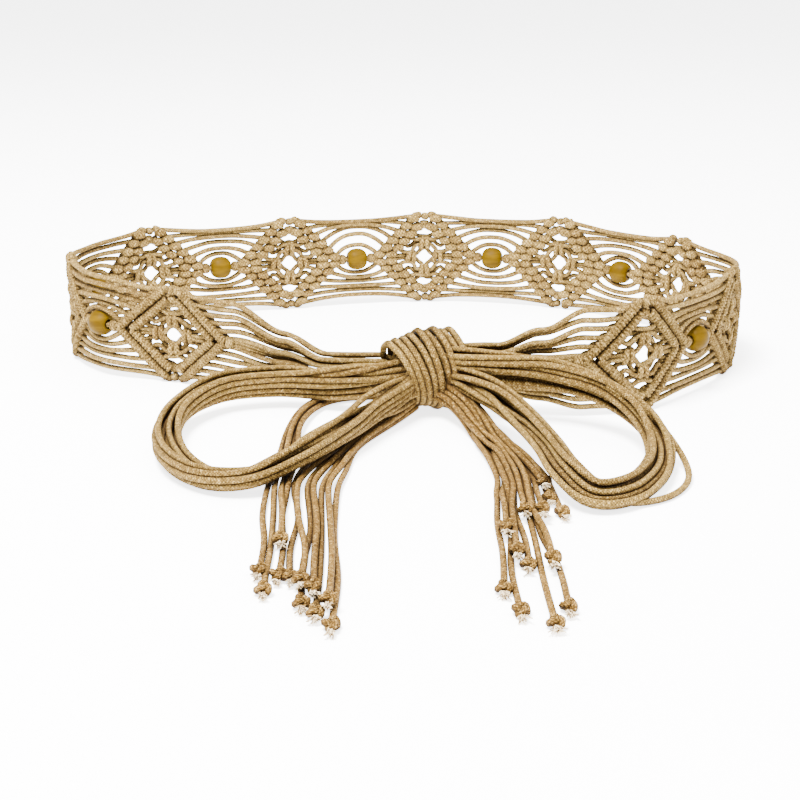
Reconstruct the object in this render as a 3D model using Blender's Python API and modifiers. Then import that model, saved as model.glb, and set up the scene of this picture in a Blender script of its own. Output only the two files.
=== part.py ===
"""A knotted cord belt with wooden beads, standing on its lower edge and tied in a bow.

The band is a row of knotted diamonds. Bare cords join each diamond to the next, and one wooden
bead sits between their points. At both ends the cords gather into a bow knot with two loops and
two tails of loose cords. Every flat panel is drawn in its own plane, as length, thickness and
height, and is then laid along the route that the belt takes on the table.
"""

import math

import bmesh
import bpy
from mathutils import Vector

MM = 0.001

# Knotted band, in millimetres
BAND_HEIGHT = 54.5
DIAMOND_COUNT = 9
DIAMOND_LENGTH = 64.0
TIP_FLAT = 11.0
RIDGE_WIDTH = 4.6
RIDGE_THICKNESS = 5.0
NET_THICKNESS = 3.0
NET_HOLE_WIDTH = 2.4
NET_HOLE_LENGTH = 4.2
NET_HOLES_PER_SIDE = 2
CORD_DIAMETER = 2.6
SLIT_WIDTH = 3.0
SLIT_LENGTH = 30.0
SLIT_LIFT = 5.6
WINDOW_STRETCH = 1.14

# Distance between the edges at which a flat panel can bend
BEND_STEP = 9.0
SIDE_PIECES = 2
GAP_DIP = 4.0

# A diamond's rim across its two rows of hitches.
# Columns: distance in from the edge in ridge widths, thickness as a share of a ridge's.
RIM_TABLE = (
    (0.0, 0.42),
    (0.5, 1.00),
    (1.0, 0.55),
    (1.5, 1.00),
    (2.0, 0.42),
)

# Beads
BEAD_DIAMETER = 12.8
BEAD_HOLE = 5.6
BEAD_SIDES = 12
CORE_HEIGHT = 2.8

# Bow
KNOT_DIAMETER = 38.0
KNOT_LENGTH = 35.0
KNOT_WRAPS = 5
KNOT_WRAP_DEPTH = 1.6
KNOT_TURN = 20.0
KNOT_TILT = 25.0
LOCK_DIAMETER = 5.2

# Running gap between neighbours, and the gap round a bead
CLEARANCE = 0.3
BEAD_CLEARANCE = 0.4

# Bare length that two diamonds' points leave beside the bead
POINT_MARGIN = 3.3

# The waist loop's depth as a share of its width. The width follows from the band's length.
WAIST_DEPTH_SHARE = 0.612

# The bow knot is at (0, 0), in front of the waist loop's middle.
# Columns: shares of the half width and of the half depth from the middle of the loop.
KNOT_SHARE = (0.047, -0.976)

# The belt's route on the table, from the left of the knot round the waist to its right,
# with the same columns. Two of its rows are the middles of the first and the last diamond.
WAIST_ROUTE = (
    (-0.060, -0.905),
    (-0.282, -0.800),
    (-0.471, -0.680),
    (-0.659, -0.548),
    (-0.876, -0.432),
    (-1.000, -0.125),
    (-0.994, 0.250),
    (-0.853, 0.558),
    (-0.618, 0.721),
    (-0.376, 0.837),
    (-0.141, 0.942),
    (0.106, 1.000),
    (0.347, 0.942),
    (0.565, 0.808),
    (0.747, 0.567),
    (0.900, 0.269),
    (1.000, -0.087),
    (0.929, -0.452),
    (0.794, -0.750),
    (0.641, -0.975),
    (0.471, -1.050),
    (0.306, -1.030),
    (0.150, -0.975),
)
DIAMOND_ROWS = (3, 19)

# How high the band's edges stand along the route.
# Columns: place in diamond pitches from the first diamond, lower edge and upper edge as shares
# of the band's height, thickness as a multiple of one cord.
EDGE_TABLE = (
    (-1.45, 0.145, 0.50, 3.4),
    (-1.00, 0.140, 0.46, 3.2),
    (-0.75, 0.100, 0.62, 2.2),
    (-0.40, 0.020, 0.84, 1.1),
    (0.00, 0.000, 0.885, 1.0),
    (0.50, 0.000, 0.985, 1.0),
    (1.00, 0.000, 1.000, 1.0),
    (8.00, 0.000, 1.000, 1.0),
    (8.35, 0.020, 0.960, 1.1),
    (8.60, 0.100, 0.800, 2.0),
    (8.85, 0.160, 0.640, 3.0),
    (9.45, 0.160, 0.560, 3.4),
)

# The bow's loops, as bundles of cords, drawn from the knot's place.
# Columns: x, y and z of the middle, then the bundle's width and height.
LEFT_LOOP = (
    (-6.0, -8.5, 22.0, 7.0, 15.0),
    (-24.0, -5.5, 20.0, 8.0, 17.0),
    (-44.0, 0.5, 17.0, 8.0, 18.0),
    (-68.0, 4.5, 15.5, 8.0, 17.0),
    (-92.0, -2.5, 13.0, 9.0, 15.0),
    (-107.0, -23.5, 10.0, 10.0, 13.0),
    (-110.0, -50.5, 7.5, 12.0, 11.0),
    (-103.0, -78.5, 6.5, 13.0, 10.0),
    (-88.0, -98.5, 6.0, 13.0, 10.0),
    (-70.0, -103.5, 8.0, 13.0, 10.0),
    (-53.0, -90.5, 11.6, 13.0, 10.0),
    (-36.0, -63.5, 12.6, 12.0, 12.0),
    (-23.0, -40.5, 14.0, 9.0, 15.0),
    (-12.0, -24.5, 15.0, 7.0, 16.0),
    (-2.0, -8.5, 16.0, 6.0, 15.0),
)
RIGHT_LOOP = (
    (6.0, -2.5, 25.0, 6.0, 15.0),
    (20.0, -12.5, 27.0, 7.0, 17.0),
    (36.0, -18.0, 28.0, 8.0, 18.0),
    (57.0, -20.5, 27.0, 8.0, 19.0),
    (78.0, -30.5, 23.0, 9.0, 18.0),
    (93.0, -47.5, 16.0, 11.0, 15.0),
    (98.0, -68.5, 10.0, 12.0, 12.0),
    (94.0, -91.5, 7.0, 13.0, 11.0),
    (81.0, -112.5, 6.0, 13.0, 11.0),
    (65.0, -120.5, 7.0, 13.0, 11.0),
    (55.0, -106.5, 11.2, 13.0, 10.0),
    (50.0, -83.5, 12.2, 12.0, 10.0),
    (41.0, -57.5, 13.6, 10.0, 12.0),
    (28.0, -35.5, 15.6, 8.0, 14.0),
    (12.0, -14.5, 16.6, 6.0, 14.0),
)

# The tails where their cords still lie together, with the same columns. On the left, some of
# the cords run across the inside of the loop and the others lie under the loop's front run.
LEFT_ROOT = (
    (-10.0, 5.5, 4.4, 8.0, 6.0),
    (-28.0, 8.5, 3.1, 8.6, 5.6),
    (-46.0, 4.5, 2.9, 9.0, 5.4),
    (-57.0, -14.5, 2.8, 9.0, 5.3),
    (-56.5, -39.5, 2.8, 9.5, 5.3),
    (-55.0, -65.5, 2.8, 10.0, 5.3),
    (-54.0, -91.5, 2.8, 11.0, 5.3),
)
LEFT_UNDER_ROOT = (
    (-4.0, -6.0, 6.0, 9.0, 7.0),
    (-14.0, -20.0, 3.4, 12.0, 6.0),
    (-25.0, -40.0, 2.9, 15.0, 5.4),
    (-33.0, -64.0, 2.8, 16.0, 5.3),
    (-37.0, -91.5, 2.8, 17.0, 5.3),
)
RIGHT_ROOT = (
    (4.0, -2.5, 6.6, 10.0, 8.0),
    (17.0, -19.5, 4.0, 14.0, 6.4),
    (25.0, -38.5, 2.9, 20.0, 5.4),
    (30.0, -60.5, 2.8, 25.0, 5.3),
    (34.0, -84.5, 2.8, 28.0, 5.3),
)

# Free cords of the tails, two or three strands to each, drawn as one lock.
# Each row is a lock's route on the table, as x and y, after the root's own end.
LEFT_LOCKS = (
    ((-59.0, -121.5), (-60.0, -144.5), (-58.5, -166.5), (-57.0, -186.5)),
    ((-52.5, -124.5), (-53.5, -148.5), (-52.0, -172.5), (-51.5, -196.5)),
    ((-44.5, -124.5), (-45.5, -150.5), (-46.0, -176.5), (-44.5, -200.5)),
    ((-37.0, -122.5), (-37.0, -149.5), (-38.5, -178.5), (-38.5, -209.5)),
    ((-29.5, -120.5), (-28.5, -148.5), (-30.5, -184.5), (-32.5, -222.5)),
)
LEFT_UNDER_COUNT = 3
RIGHT_LOCKS = (
    ((24.0, -108.5), (25.0, -136.5), (23.5, -166.5), (24.5, -198.5)),
    ((30.0, -110.5), (32.0, -134.5), (31.5, -158.5), (31.0, -180.5)),
    ((36.0, -111.5), (38.5, -144.5), (37.5, -184.5), (38.0, -222.5)),
    ((41.5, -110.5), (44.5, -132.5), (45.0, -156.5), (44.5, -180.5)),
    ((46.5, -101.5), (49.5, -114.5), (50.5, -127.5), (50.5, -138.5)),
)

CORD_CREAM = (0.62, 0.50, 0.34, 1.0)
CORD_TAN = (0.50, 0.38, 0.23, 1.0)
BEAD_OLIVE = (0.30, 0.22, 0.05, 1.0)


def material(name, colour, roughness):
    """A matte Principled material."""
    made = bpy.data.materials.new(name)
    made.use_nodes = True
    shader = made.node_tree.nodes["Principled BSDF"]
    shader.inputs["Base Color"].default_value = colour
    shader.inputs["Roughness"].default_value = roughness
    shader.inputs["Metallic"].default_value = 0.0
    made.diffuse_color = colour
    return made


def smooth_line(points, step):
    """Points about one step apart on a smooth curve through the given points."""
    line = [Vector(p) for p in points]
    before = line[0] * 2 - line[1]
    after = line[-1] * 2 - line[-2]
    padded = [before] + line + [after]
    smooth = []
    for i in range(1, len(padded) - 2):
        p0, p1, p2, p3 = padded[i - 1 : i + 3]
        pieces = max(1, round((p2 - p1).length / step))
        for k in range(pieces):
            t = k / pieces
            smooth.append(
                0.5
                * (
                    2 * p1
                    + (p2 - p0) * t
                    + (2 * p0 - 5 * p1 + 4 * p2 - p3) * t * t
                    + (3 * p1 - p0 - 3 * p2 + p3) * t * t * t
                )
            )
    smooth.append(line[-1])
    return smooth


def from_table(table, place, column):
    """A column's value between the rows of a table whose first column rises."""
    if place <= table[0][0]:
        return table[0][column]
    for low, high in zip(table, table[1:]):
        if place <= high[0]:
            share = (place - low[0]) / (high[0] - low[0])
            share = share * share * (3 - 2 * share)
            return low[column] + (high[column] - low[column]) * share
    return table[-1][column]


class Route:
    """The belt's line on the table, with a place for every length along it."""

    def __init__(self):
        self.pitch = DIAMOND_LENGTH + BEAD_DIAMETER + 2 * BEAD_CLEARANCE + POINT_MARGIN
        self.follow(1.0, 0.01)
        half_width = self.pitch * (DIAMOND_COUNT - 1) / (self.last - self.first)
        self.follow(half_width, 0.01 * half_width)
        self.pitch = (self.last - self.first) / (DIAMOND_COUNT - 1)

    def follow(self, half_width, step):
        """Run through the waist's rows, at this half width, with the knot at (0, 0)."""
        half_depth = half_width * WAIST_DEPTH_SHARE
        rows = [
            Vector(
                ((x - KNOT_SHARE[0]) * half_width, (y - KNOT_SHARE[1]) * half_depth, 0.0)
            )
            for x, y in WAIST_ROUTE
        ]
        self.points = smooth_line(rows, step)
        self.station = [0.0]
        for a, b in zip(self.points, self.points[1:]):
            self.station.append(self.station[-1] + (b - a).length)
        self.first = self.station_near(rows[DIAMOND_ROWS[0]])
        self.last = self.station_near(rows[DIAMOND_ROWS[1]])

    def station_near(self, point):
        """The length along the route of the point nearest to this one."""
        nearest = min(
            range(len(self.points)), key=lambda i: (self.points[i] - point).length
        )
        return self.station[nearest]

    def at(self, length):
        """The point and the outward direction at a length along the route."""
        length = max(0.0, min(self.station[-1], length))
        i = 0
        while i < len(self.station) - 2 and self.station[i + 1] < length:
            i += 1
        span = self.station[i + 1] - self.station[i]
        share = (length - self.station[i]) / span
        point = self.points[i].lerp(self.points[i + 1], share)
        back = self.points[max(0, i - 1)]
        ahead = self.points[min(len(self.points) - 1, i + 2)]
        middle = self.points[i + 1] - self.points[i]
        along = ((ahead - back).normalized() + middle.normalized()).normalized()
        return point, Vector((-along.y, along.x, 0.0))

    def lay(self, mesh, middle, gather):
        """Lay a flat panel's mesh along the route, its x = 0 at the length middle."""
        for vertex in mesh.vertices:
            x, y, z = vertex.co / MM
            length = middle + x
            point, outward = self.at(length)
            place = (length - self.first) / self.pitch
            low = from_table(EDGE_TABLE, place, 1)
            high = from_table(EDGE_TABLE, place, 2)
            thick = from_table(EDGE_TABLE, place, 3) if gather else 1.0
            height = BAND_HEIGHT * low + (high - low) * z
            laid = point + outward * y * thick
            vertex.co = Vector((laid.x, laid.y, height)) * MM
        mesh.update()


def flat_mesh(name, outline, holes, thickness):
    """A flat panel with holes, drawn as a filled 2D curve and given its thickness."""
    curve = bpy.data.curves.new(name, "CURVE")
    curve.dimensions = "2D"
    curve.fill_mode = "BOTH"
    curve.extrude = thickness / 2 * MM
    for ring in [outline] + holes:
        spline = curve.splines.new("POLY")
        spline.points.add(len(ring) - 1)
        for point, (x, z) in zip(spline.points, ring):
            point.co = (x * MM, z * MM, 0.0, 1.0)
        spline.use_cyclic_u = True
    drawn = mesh_from_curve(name, curve)
    for vertex in drawn.vertices:
        x, z, y = vertex.co
        vertex.co = (x, -y, z)
    return drawn


def mesh_from_curve(name, curve):
    """The mesh that a curve makes, with its caps welded on."""
    holder = bpy.data.objects.new(name, curve)
    bpy.context.scene.collection.objects.link(holder)
    bpy.context.view_layer.update()
    graph = bpy.context.evaluated_depsgraph_get()
    drawn = bpy.data.meshes.new_from_object(holder.evaluated_get(graph))
    bpy.data.objects.remove(holder)
    bpy.data.curves.remove(curve)
    work = bmesh.new()
    work.from_mesh(drawn)
    bmesh.ops.remove_doubles(work, verts=work.verts, dist=0.00001)
    work.to_mesh(drawn)
    work.free()
    return drawn


def tube_curve(name, points, radius, resolution, closed):
    """A round tube along points given in millimetres."""
    curve = bpy.data.curves.new(name, "CURVE")
    curve.dimensions = "3D"
    curve.bevel_depth = radius * MM
    curve.bevel_resolution = resolution
    curve.use_fill_caps = not closed
    spline = curve.splines.new("POLY")
    spline.points.add(len(points) - 1)
    for point, place in zip(spline.points, points):
        point.co = (place[0] * MM, place[1] * MM, place[2] * MM, 1.0)
    spline.use_cyclic_u = closed
    return curve


def new_object(name, mesh, collection, look):
    """An object for one piece of the belt."""
    made = bpy.data.objects.new(name, mesh)
    mesh.materials.clear()
    mesh.materials.append(look)
    mesh.shade_flat()
    collection.objects.link(made)
    return made


def joined(first, others, operation):
    """One mesh made from the first by a Boolean with each of the others."""
    work = bpy.data.objects.new("work", first)
    bpy.context.scene.collection.objects.link(work)
    tools = []
    for other in others:
        tool = bpy.data.objects.new("tool", other)
        bpy.context.scene.collection.objects.link(tool)
        tools.append(tool)
        boolean = work.modifiers.new("join", "BOOLEAN")
        boolean.operation = operation
        boolean.solver = "EXACT"
        boolean.object = tool
    bpy.context.view_layer.update()
    graph = bpy.context.evaluated_depsgraph_get()
    made = bpy.data.meshes.new_from_object(work.evaluated_get(graph))
    for tool in tools:
        bpy.data.objects.remove(tool)
    bpy.data.objects.remove(work)
    work = bmesh.new()
    work.from_mesh(made)
    bmesh.ops.dissolve_degenerate(work, edges=work.edges, dist=0.00002)
    bmesh.ops.triangulate(work, faces=work.faces)
    work.to_mesh(made)
    work.free()
    return made


def diamond_ring(inset, pieces):
    """The six-cornered line of a diamond, moved inwards, with each side in equal pieces."""
    half_length = DIAMOND_LENGTH / 2
    half_height = BAND_HEIGHT / 2
    half_flat = TIP_FLAT / 2
    slope = math.atan2(half_height, half_length - half_flat)
    corner_x = half_length - inset / math.sin(slope)
    top_z = half_height - inset
    top_x = corner_x - top_z / math.tan(slope)
    corners = [
        (-corner_x, 0.0),
        (-top_x, top_z),
        (top_x, top_z),
        (corner_x, 0.0),
        (top_x, -top_z),
        (-top_x, -top_z),
    ]
    ring = []
    for i, (x, z) in enumerate(corners):
        next_x, next_z = corners[(i + 1) % 6]
        count = 1 if i in (1, 4) else pieces
        for k in range(count):
            share = k / count
            ring.append(
                (
                    x + (next_x - x) * share,
                    half_height + z + (next_z - z) * share,
                )
            )
    return ring


def net_holes():
    """The gaps of the knotted net: one in the middle, and a few along each side."""
    middle = BAND_HEIGHT / 2
    inner = diamond_ring(2 * RIDGE_WIDTH, 1)
    reach_x = inner[3][0]
    reach_z = inner[1][1] - middle
    half_wide = NET_HOLE_WIDTH / 2
    half_long = NET_HOLE_LENGTH / 2
    side = Vector((-reach_x, reach_z)).normalized()
    inward = Vector((-side.y, side.x))
    holes = [
        [(-half_wide, middle), (0, middle - half_long), (half_wide, middle)]
        + [(0, middle + half_long)]
    ]
    for turn_x, turn_z in ((1, 1), (-1, 1), (-1, -1), (1, -1)):
        for k in range(NET_HOLES_PER_SIDE):
            share = (k + 0.8) / (NET_HOLES_PER_SIDE + 0.6)
            foot = Vector((reach_x * (1 - share), reach_z * share))
            centre = foot + inward * (half_long + NET_THICKNESS / 2)
            ring = []
            for along, across in ((1, 1), (-1, 1), (-1, -1), (1, -1)):
                corner = centre + side * along * half_wide + inward * across * half_long
                ring.append((turn_x * corner.x, middle + turn_z * corner.y))
            holes.append(ring)
    return holes


def rim_mesh():
    """A diamond's rim: a closed ring whose section rises over both rows of hitches."""
    section = [(inset, share) for inset, share in RIM_TABLE]
    section += [(inset, -share) for inset, share in reversed(RIM_TABLE)]
    work = bmesh.new()
    rings = []
    for inset, share in section:
        line = diamond_ring(inset * RIDGE_WIDTH, SIDE_PIECES)
        thick = share * RIDGE_THICKNESS / 2
        rings.append([work.verts.new(Vector((x, thick, z)) * MM) for x, z in line])
    for a, b in zip(rings, rings[1:] + rings[:1]):
        for k in range(len(a)):
            n = (k + 1) % len(a)
            work.faces.new((a[k], b[k], b[n], a[n]))
    bmesh.ops.recalc_face_normals(work, faces=work.faces)
    mesh = bpy.data.meshes.new("rim")
    work.to_mesh(mesh)
    work.free()
    return mesh


def diamond_mesh():
    """One knotted diamond, flat: a pierced net inside a rim of two raised rows."""
    edge = diamond_ring(1.6 * RIDGE_WIDTH, SIDE_PIECES)
    plate = flat_mesh("net", edge, net_holes(), NET_THICKNESS)
    return joined(plate, [rim_mesh()], "UNION")


def crossed(mesh, places):
    """Give a flat mesh an edge at each place along it, where it can bend."""
    work = bmesh.new()
    work.from_mesh(mesh)
    for place in places:
        everything = work.verts[:] + work.edges[:] + work.faces[:]
        bmesh.ops.bisect_plane(
            work,
            geom=everything,
            dist=0.00001,
            plane_co=(place * MM, 0.0, 0.0),
            plane_no=(1.0, 0.0, 0.0),
        )
    bmesh.ops.triangulate(work, faces=work.faces)
    work.to_mesh(mesh)
    work.free()


def slit(middle_x, middle_z, length):
    """A narrow see-through slit between two bare cords."""
    half = length / 2
    wide = SLIT_WIDTH / 2
    return [
        (middle_x - half, middle_z),
        (middle_x - half / 2, middle_z - wide),
        (middle_x + half / 2, middle_z - wide),
        (middle_x + half, middle_z),
        (middle_x + half / 2, middle_z + wide),
        (middle_x - half / 2, middle_z + wide),
    ]


def side_line(corner_x, direction):
    """The edge that bare cords share with a diamond's side, from bottom to top."""
    ring = diamond_ring(-CLEARANCE, SIDE_PIECES)
    right_side = [row for row in ring if row[0] > 0]
    line = []
    for x, z in right_side:
        line.append((corner_x + direction * x, min(BAND_HEIGHT, max(0.0, z))))
    line.sort(key=lambda row: row[1])
    return line


def gap_mesh(pitch):
    """The bare cords between two diamonds, flat, with room for the bead."""
    half = pitch / 2
    left = side_line(-half, 1)
    right = side_line(half, -1)
    middle = BAND_HEIGHT / 2
    left_top, right_top = left[-1][0], right[-1][0]
    edge = []
    for k in range(1, 6):
        share = k / 6
        x = left_top + (right_top - left_top) * share
        edge.append((x, BAND_HEIGHT - GAP_DIP * math.sin(math.pi * share)))
    low_edge = [(x, BAND_HEIGHT - z) for x, z in edge]
    outline = left + edge + right[::-1] + low_edge[::-1]
    room = BEAD_DIAMETER / 2 + BEAD_CLEARANCE
    start = math.asin(CORE_HEIGHT / 2 / room)
    windows = []
    for side in (1, -1):
        window = []
        for k in range(7):
            angle = start + (math.pi - 2 * start) * k / 6
            lift = room * math.sin(angle) * WINDOW_STRETCH
            window.append((room * math.cos(angle), middle + side * lift))
        windows.append(window)
        windows.append(slit(0.0, middle + side * (room + SLIT_LIFT), SLIT_LENGTH))
    mesh = flat_mesh("gap", outline, windows, CORD_DIAMETER)
    crossed(mesh, (0.0,))
    return mesh


def end_mesh(length, direction):
    """The bare cords from the last diamond to the knot, flat, gathered when they are laid."""
    side = side_line(0.0, direction)
    middle = BAND_HEIGHT / 2
    far = direction * length
    steps = 6
    top_x = side[-1][0]
    edge = [
        (top_x + (far - top_x) * k / steps, BAND_HEIGHT) for k in range(1, steps + 1)
    ]
    low_edge = [(x, 0.0) for x, z in edge]
    outline = side + edge + low_edge[::-1]
    slits = []
    near = direction * (DIAMOND_LENGTH / 2 + 9.0)
    for row in (-1, 0, 1):
        slits.append(slit(near, middle + row * BAND_HEIGHT / 4, SLIT_LENGTH / 2))
    mesh = flat_mesh("end", outline, slits, CORD_DIAMETER)
    bends = range(2, int(length / BEND_STEP))
    crossed(mesh, [direction * BEND_STEP * k for k in bends])
    return mesh


def bundle_mesh(rows, sides, step):
    """A bundle of cords lofted through oval sections, with closed ends."""
    line = smooth_line([row[:3] for row in rows], step)
    work = bmesh.new()
    rings = []
    for i, middle in enumerate(line):
        wide, tall = section_size(rows, nearest_share(rows, middle))
        ahead = line[min(len(line) - 1, i + 1)] - line[max(0, i - 1)]
        ahead.normalize()
        across = Vector((ahead.y, -ahead.x, 0.0)).normalized()
        up = across.cross(ahead)
        ring = []
        for k in range(sides):
            angle = 2 * math.pi * (k + 0.5) / sides
            flat = across * math.cos(angle) * wide / 2 + up * math.sin(angle) * tall / 2
            ring.append(work.verts.new((middle + flat) * MM))
        rings.append(ring)
    for a, b in zip(rings, rings[1:]):
        for k in range(sides):
            n = (k + 1) % sides
            work.faces.new((a[k], a[n], b[n], b[k]))
    work.faces.new(rings[0][::-1])
    work.faces.new(rings[-1])
    bmesh.ops.recalc_face_normals(work, faces=work.faces)
    bmesh.ops.triangulate(work, faces=work.faces)
    mesh = bpy.data.meshes.new("bundle")
    work.to_mesh(mesh)
    work.free()
    return mesh


def nearest_share(rows, point):
    """The place among the rows, as a row number with a fraction, nearest to a point."""
    best = (1e9, 0.0)
    for i, (a, b) in enumerate(zip(rows, rows[1:])):
        start, end = Vector(a[:3]), Vector(b[:3])
        run = end - start
        share = max(0.0, min(1.0, (point - start).dot(run) / run.length_squared))
        far = (start + run * share - point).length
        best = min(best, (far, i + share))
    return best[1]


def section_size(rows, place):
    """The bundle's width and height at a place among its rows."""
    i = min(int(place), len(rows) - 2)
    share = place - i
    wide = rows[i][3] + (rows[i + 1][3] - rows[i][3]) * share
    tall = rows[i][4] + (rows[i + 1][4] - rows[i][4]) * share
    return wide, tall


def turned_mesh(name, profile, steps):
    """A profile turned round the X axis, from rows of distance along it and radius."""
    outline = bpy.data.meshes.new(name)
    points = [(x * MM, 0.0, radius * MM) for x, radius in profile]
    edges = [(i, i + 1) for i in range(len(points) - 1)]
    outline.from_pydata(points, edges, [])
    holder = bpy.data.objects.new(name, outline)
    bpy.context.scene.collection.objects.link(holder)
    screw = holder.modifiers.new("turn", "SCREW")
    screw.axis = "X"
    screw.steps = steps
    screw.render_steps = steps
    screw.use_merge_vertices = True
    screw.merge_threshold = 0.00001
    bpy.context.view_layer.update()
    graph = bpy.context.evaluated_depsgraph_get()
    made = bpy.data.meshes.new_from_object(holder.evaluated_get(graph))
    bpy.data.objects.remove(holder)
    work = bmesh.new()
    work.from_mesh(made)
    bmesh.ops.remove_doubles(work, verts=work.verts, dist=0.00001)
    bmesh.ops.recalc_face_normals(work, faces=work.faces)
    bmesh.ops.triangulate(work, faces=work.faces)
    work.to_mesh(made)
    work.free()
    return made


def bead_mesh():
    """A round bead with a through hole along X."""
    radius = BEAD_DIAMETER / 2
    hole = BEAD_HOLE / 2
    reach = math.sqrt(radius * radius - hole * hole)
    profile = []
    stops = 5
    for k in range(stops + 1):
        angle = math.atan2(hole, -reach) * (1 - k / stops) + math.atan2(hole, reach) * (
            k / stops
        )
        profile.append((radius * math.cos(angle), radius * math.sin(angle)))
    profile.append(profile[0])
    return turned_mesh("bead", profile, BEAD_SIDES)


def knot_mesh(grow):
    """The bow knot: a barrel of wraps, one ridge to every two cords."""
    half = KNOT_LENGTH / 2 + grow
    profile = [(-half, 0.0)]
    stops = 2 * KNOT_WRAPS
    for k in range(stops + 1):
        x = -half + 2 * half * k / stops
        barrel = math.sqrt(max(0.0, 1 - (x / half * 0.72) ** 2))
        groove = KNOT_WRAP_DEPTH * (1 - (k % 2))
        profile.append((x, (KNOT_DIAMETER / 2 - groove) * barrel + grow))
    profile.append((half, 0.0))
    mesh = turned_mesh("knot", profile, 14)
    turn = math.radians(KNOT_TURN)
    tilt = math.radians(KNOT_TILT)
    lift = KNOT_DIAMETER / 2 + 2 * CLEARANCE
    for vertex in mesh.vertices:
        x, y, z = vertex.co
        x, z = (
            x * math.cos(tilt) - z * math.sin(tilt),
            x * math.sin(tilt) + z * math.cos(tilt),
        )
        x, y = (
            x * math.cos(turn) - y * math.sin(turn),
            x * math.sin(turn) + y * math.cos(turn),
        )
        vertex.co = (x, y, z + lift * MM)
    return mesh


def lock_points(rows, number, count, points):
    """A lock's line: straight out of the root's end, then through its own points."""
    end = Vector(rows[-1][:3])
    before = Vector(rows[-2][:3])
    ahead = (end - before).normalized()
    ahead.z = 0.0
    ahead.normalize()
    across = Vector((-ahead.y, ahead.x, 0.0))
    side = (number - (count - 1) / 2) * (LOCK_DIAMETER + CLEARANCE)
    height = LOCK_DIAMETER / 2 + 0.1
    start = end + ahead * CLEARANCE + across * side
    start.z = height
    second = start + ahead * LOCK_DIAMETER
    route = [start, second] + [Vector((x, y, height)) for x, y in points]
    return smooth_line(route, LOCK_DIAMETER * 3)


def build():
    """Make every piece of the belt and put its origin under its middle."""
    for old in list(bpy.data.objects):
        bpy.data.objects.remove(old)
    belt = bpy.data.collections.new("knotted_cord_belt")
    bpy.context.scene.collection.children.link(belt)
    route = Route()
    free = []

    flat_diamond = diamond_mesh()
    for number in range(DIAMOND_COUNT):
        name = f"diamond_{number + 1}"
        look = material(name + "_cord", CORD_CREAM, 0.8)
        mesh = flat_diamond.copy()
        route.lay(mesh, route.first + route.pitch * number, False)
        new_object(name, mesh, belt, look)

    flat_gap = gap_mesh(route.pitch)
    flat_bead = bead_mesh()
    for number in range(DIAMOND_COUNT - 1):
        middle = route.first + route.pitch * (number + 0.5)
        name = f"gap_cords_{number + 1}"
        look = material(name + "_cord", CORD_CREAM, 0.8)
        mesh = flat_gap.copy()
        route.lay(mesh, middle, False)
        new_object(name, mesh, belt, look)
        name = f"bead_{number + 1}"
        look = material(name + "_wood", BEAD_OLIVE, 0.5)
        mesh = flat_bead.copy()
        place_bead(mesh, route, middle)
        new_object(name, mesh, belt, look)

    knot_room = knot_mesh(CLEARANCE)
    look = material("bow_knot_cord", CORD_CREAM, 0.8)
    new_object("bow_knot", knot_mesh(0.0), belt, look)

    for side, direction in (("left", -1), ("right", 1)):
        middle = route.first if direction < 0 else route.last
        end = 0.0 if direction < 0 else route.station[-1]
        mesh = end_mesh(abs(end - middle), direction)
        route.lay(mesh, middle, True)
        mesh = joined(mesh, [knot_room], "DIFFERENCE")
        look = material(f"end_cords_{side}_cord", CORD_CREAM, 0.8)
        new_object(f"end_cords_{side}", mesh, belt, look)

    for side, rows in (("left", LEFT_LOOP), ("right", RIGHT_LOOP)):
        mesh = joined(bundle_mesh(rows, 8, 17.0), [knot_room], "DIFFERENCE")
        look = material(f"bow_loop_{side}_cord", CORD_CREAM, 0.8)
        new_object(f"bow_loop_{side}", mesh, belt, look)

    beside = len(LEFT_LOCKS) - LEFT_UNDER_COUNT
    tails = (
        ("left", "left", LEFT_ROOT, LEFT_LOCKS[:beside], 0),
        ("left_under", "left", LEFT_UNDER_ROOT, LEFT_LOCKS[beside:], beside),
        ("right", "right", RIGHT_ROOT, RIGHT_LOCKS, 0),
    )
    for root, side, rows, locks, before in tails:
        mesh = joined(bundle_mesh(rows, 8, 16.0), [knot_room], "DIFFERENCE")
        look = material(f"tail_root_{root}_cord", CORD_TAN, 0.8)
        free.append(new_object(f"tail_root_{root}", mesh, belt, look))
        for number, points in enumerate(locks):
            name = f"tail_{side}_{before + number + 1}"
            line = lock_points(rows, number, len(locks), points)
            curve = tube_curve(name, line, LOCK_DIAMETER / 2, 2, False)
            mesh = mesh_from_curve(name, curve)
            look = material(name + "_cord", CORD_TAN, 0.8)
            free.append(new_object(name, mesh, belt, look))

    own = [o for o in belt.objects if o not in free]
    corners = [o.matrix_world @ v.co for o in own for v in o.data.vertices]
    shift_x = (min(c.x for c in corners) + max(c.x for c in corners)) / 2
    shift_y = (min(c.y for c in corners) + max(c.y for c in corners)) / 2
    for piece in belt.objects:
        for vertex in piece.data.vertices:
            vertex.co.x -= shift_x
            vertex.co.y -= shift_y
        piece.data.update()


def place_bead(mesh, route, middle):
    """Put a bead on the core cords in the middle of a gap, its hole along the route."""
    point, outward = route.at(middle)
    along = Vector((outward.y, -outward.x, 0.0))
    place = (middle - route.first) / route.pitch
    low = from_table(EDGE_TABLE, place, 1)
    high = from_table(EDGE_TABLE, place, 2)
    height = BAND_HEIGHT * (low + high) / 2
    for vertex in mesh.vertices:
        x, y, z = vertex.co
        laid = point * MM + along * x + outward * y
        vertex.co = Vector((laid.x, laid.y, height * MM + z))


build()
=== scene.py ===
# %% [markdown]
# # A knotted cord belt with wooden beads
# The belt stands on its lower edge in an open ring, tied in a bow in front. Soft braided cotton
# cord makes everything but the beads. The plain CAD solids keep the sizes; this script puts the
# real cords, hitches and knots in their places.

import math
import random

import bpy
import numpy as np
from mathutils import Matrix, Vector
from mathutils.kdtree import KDTree


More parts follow.
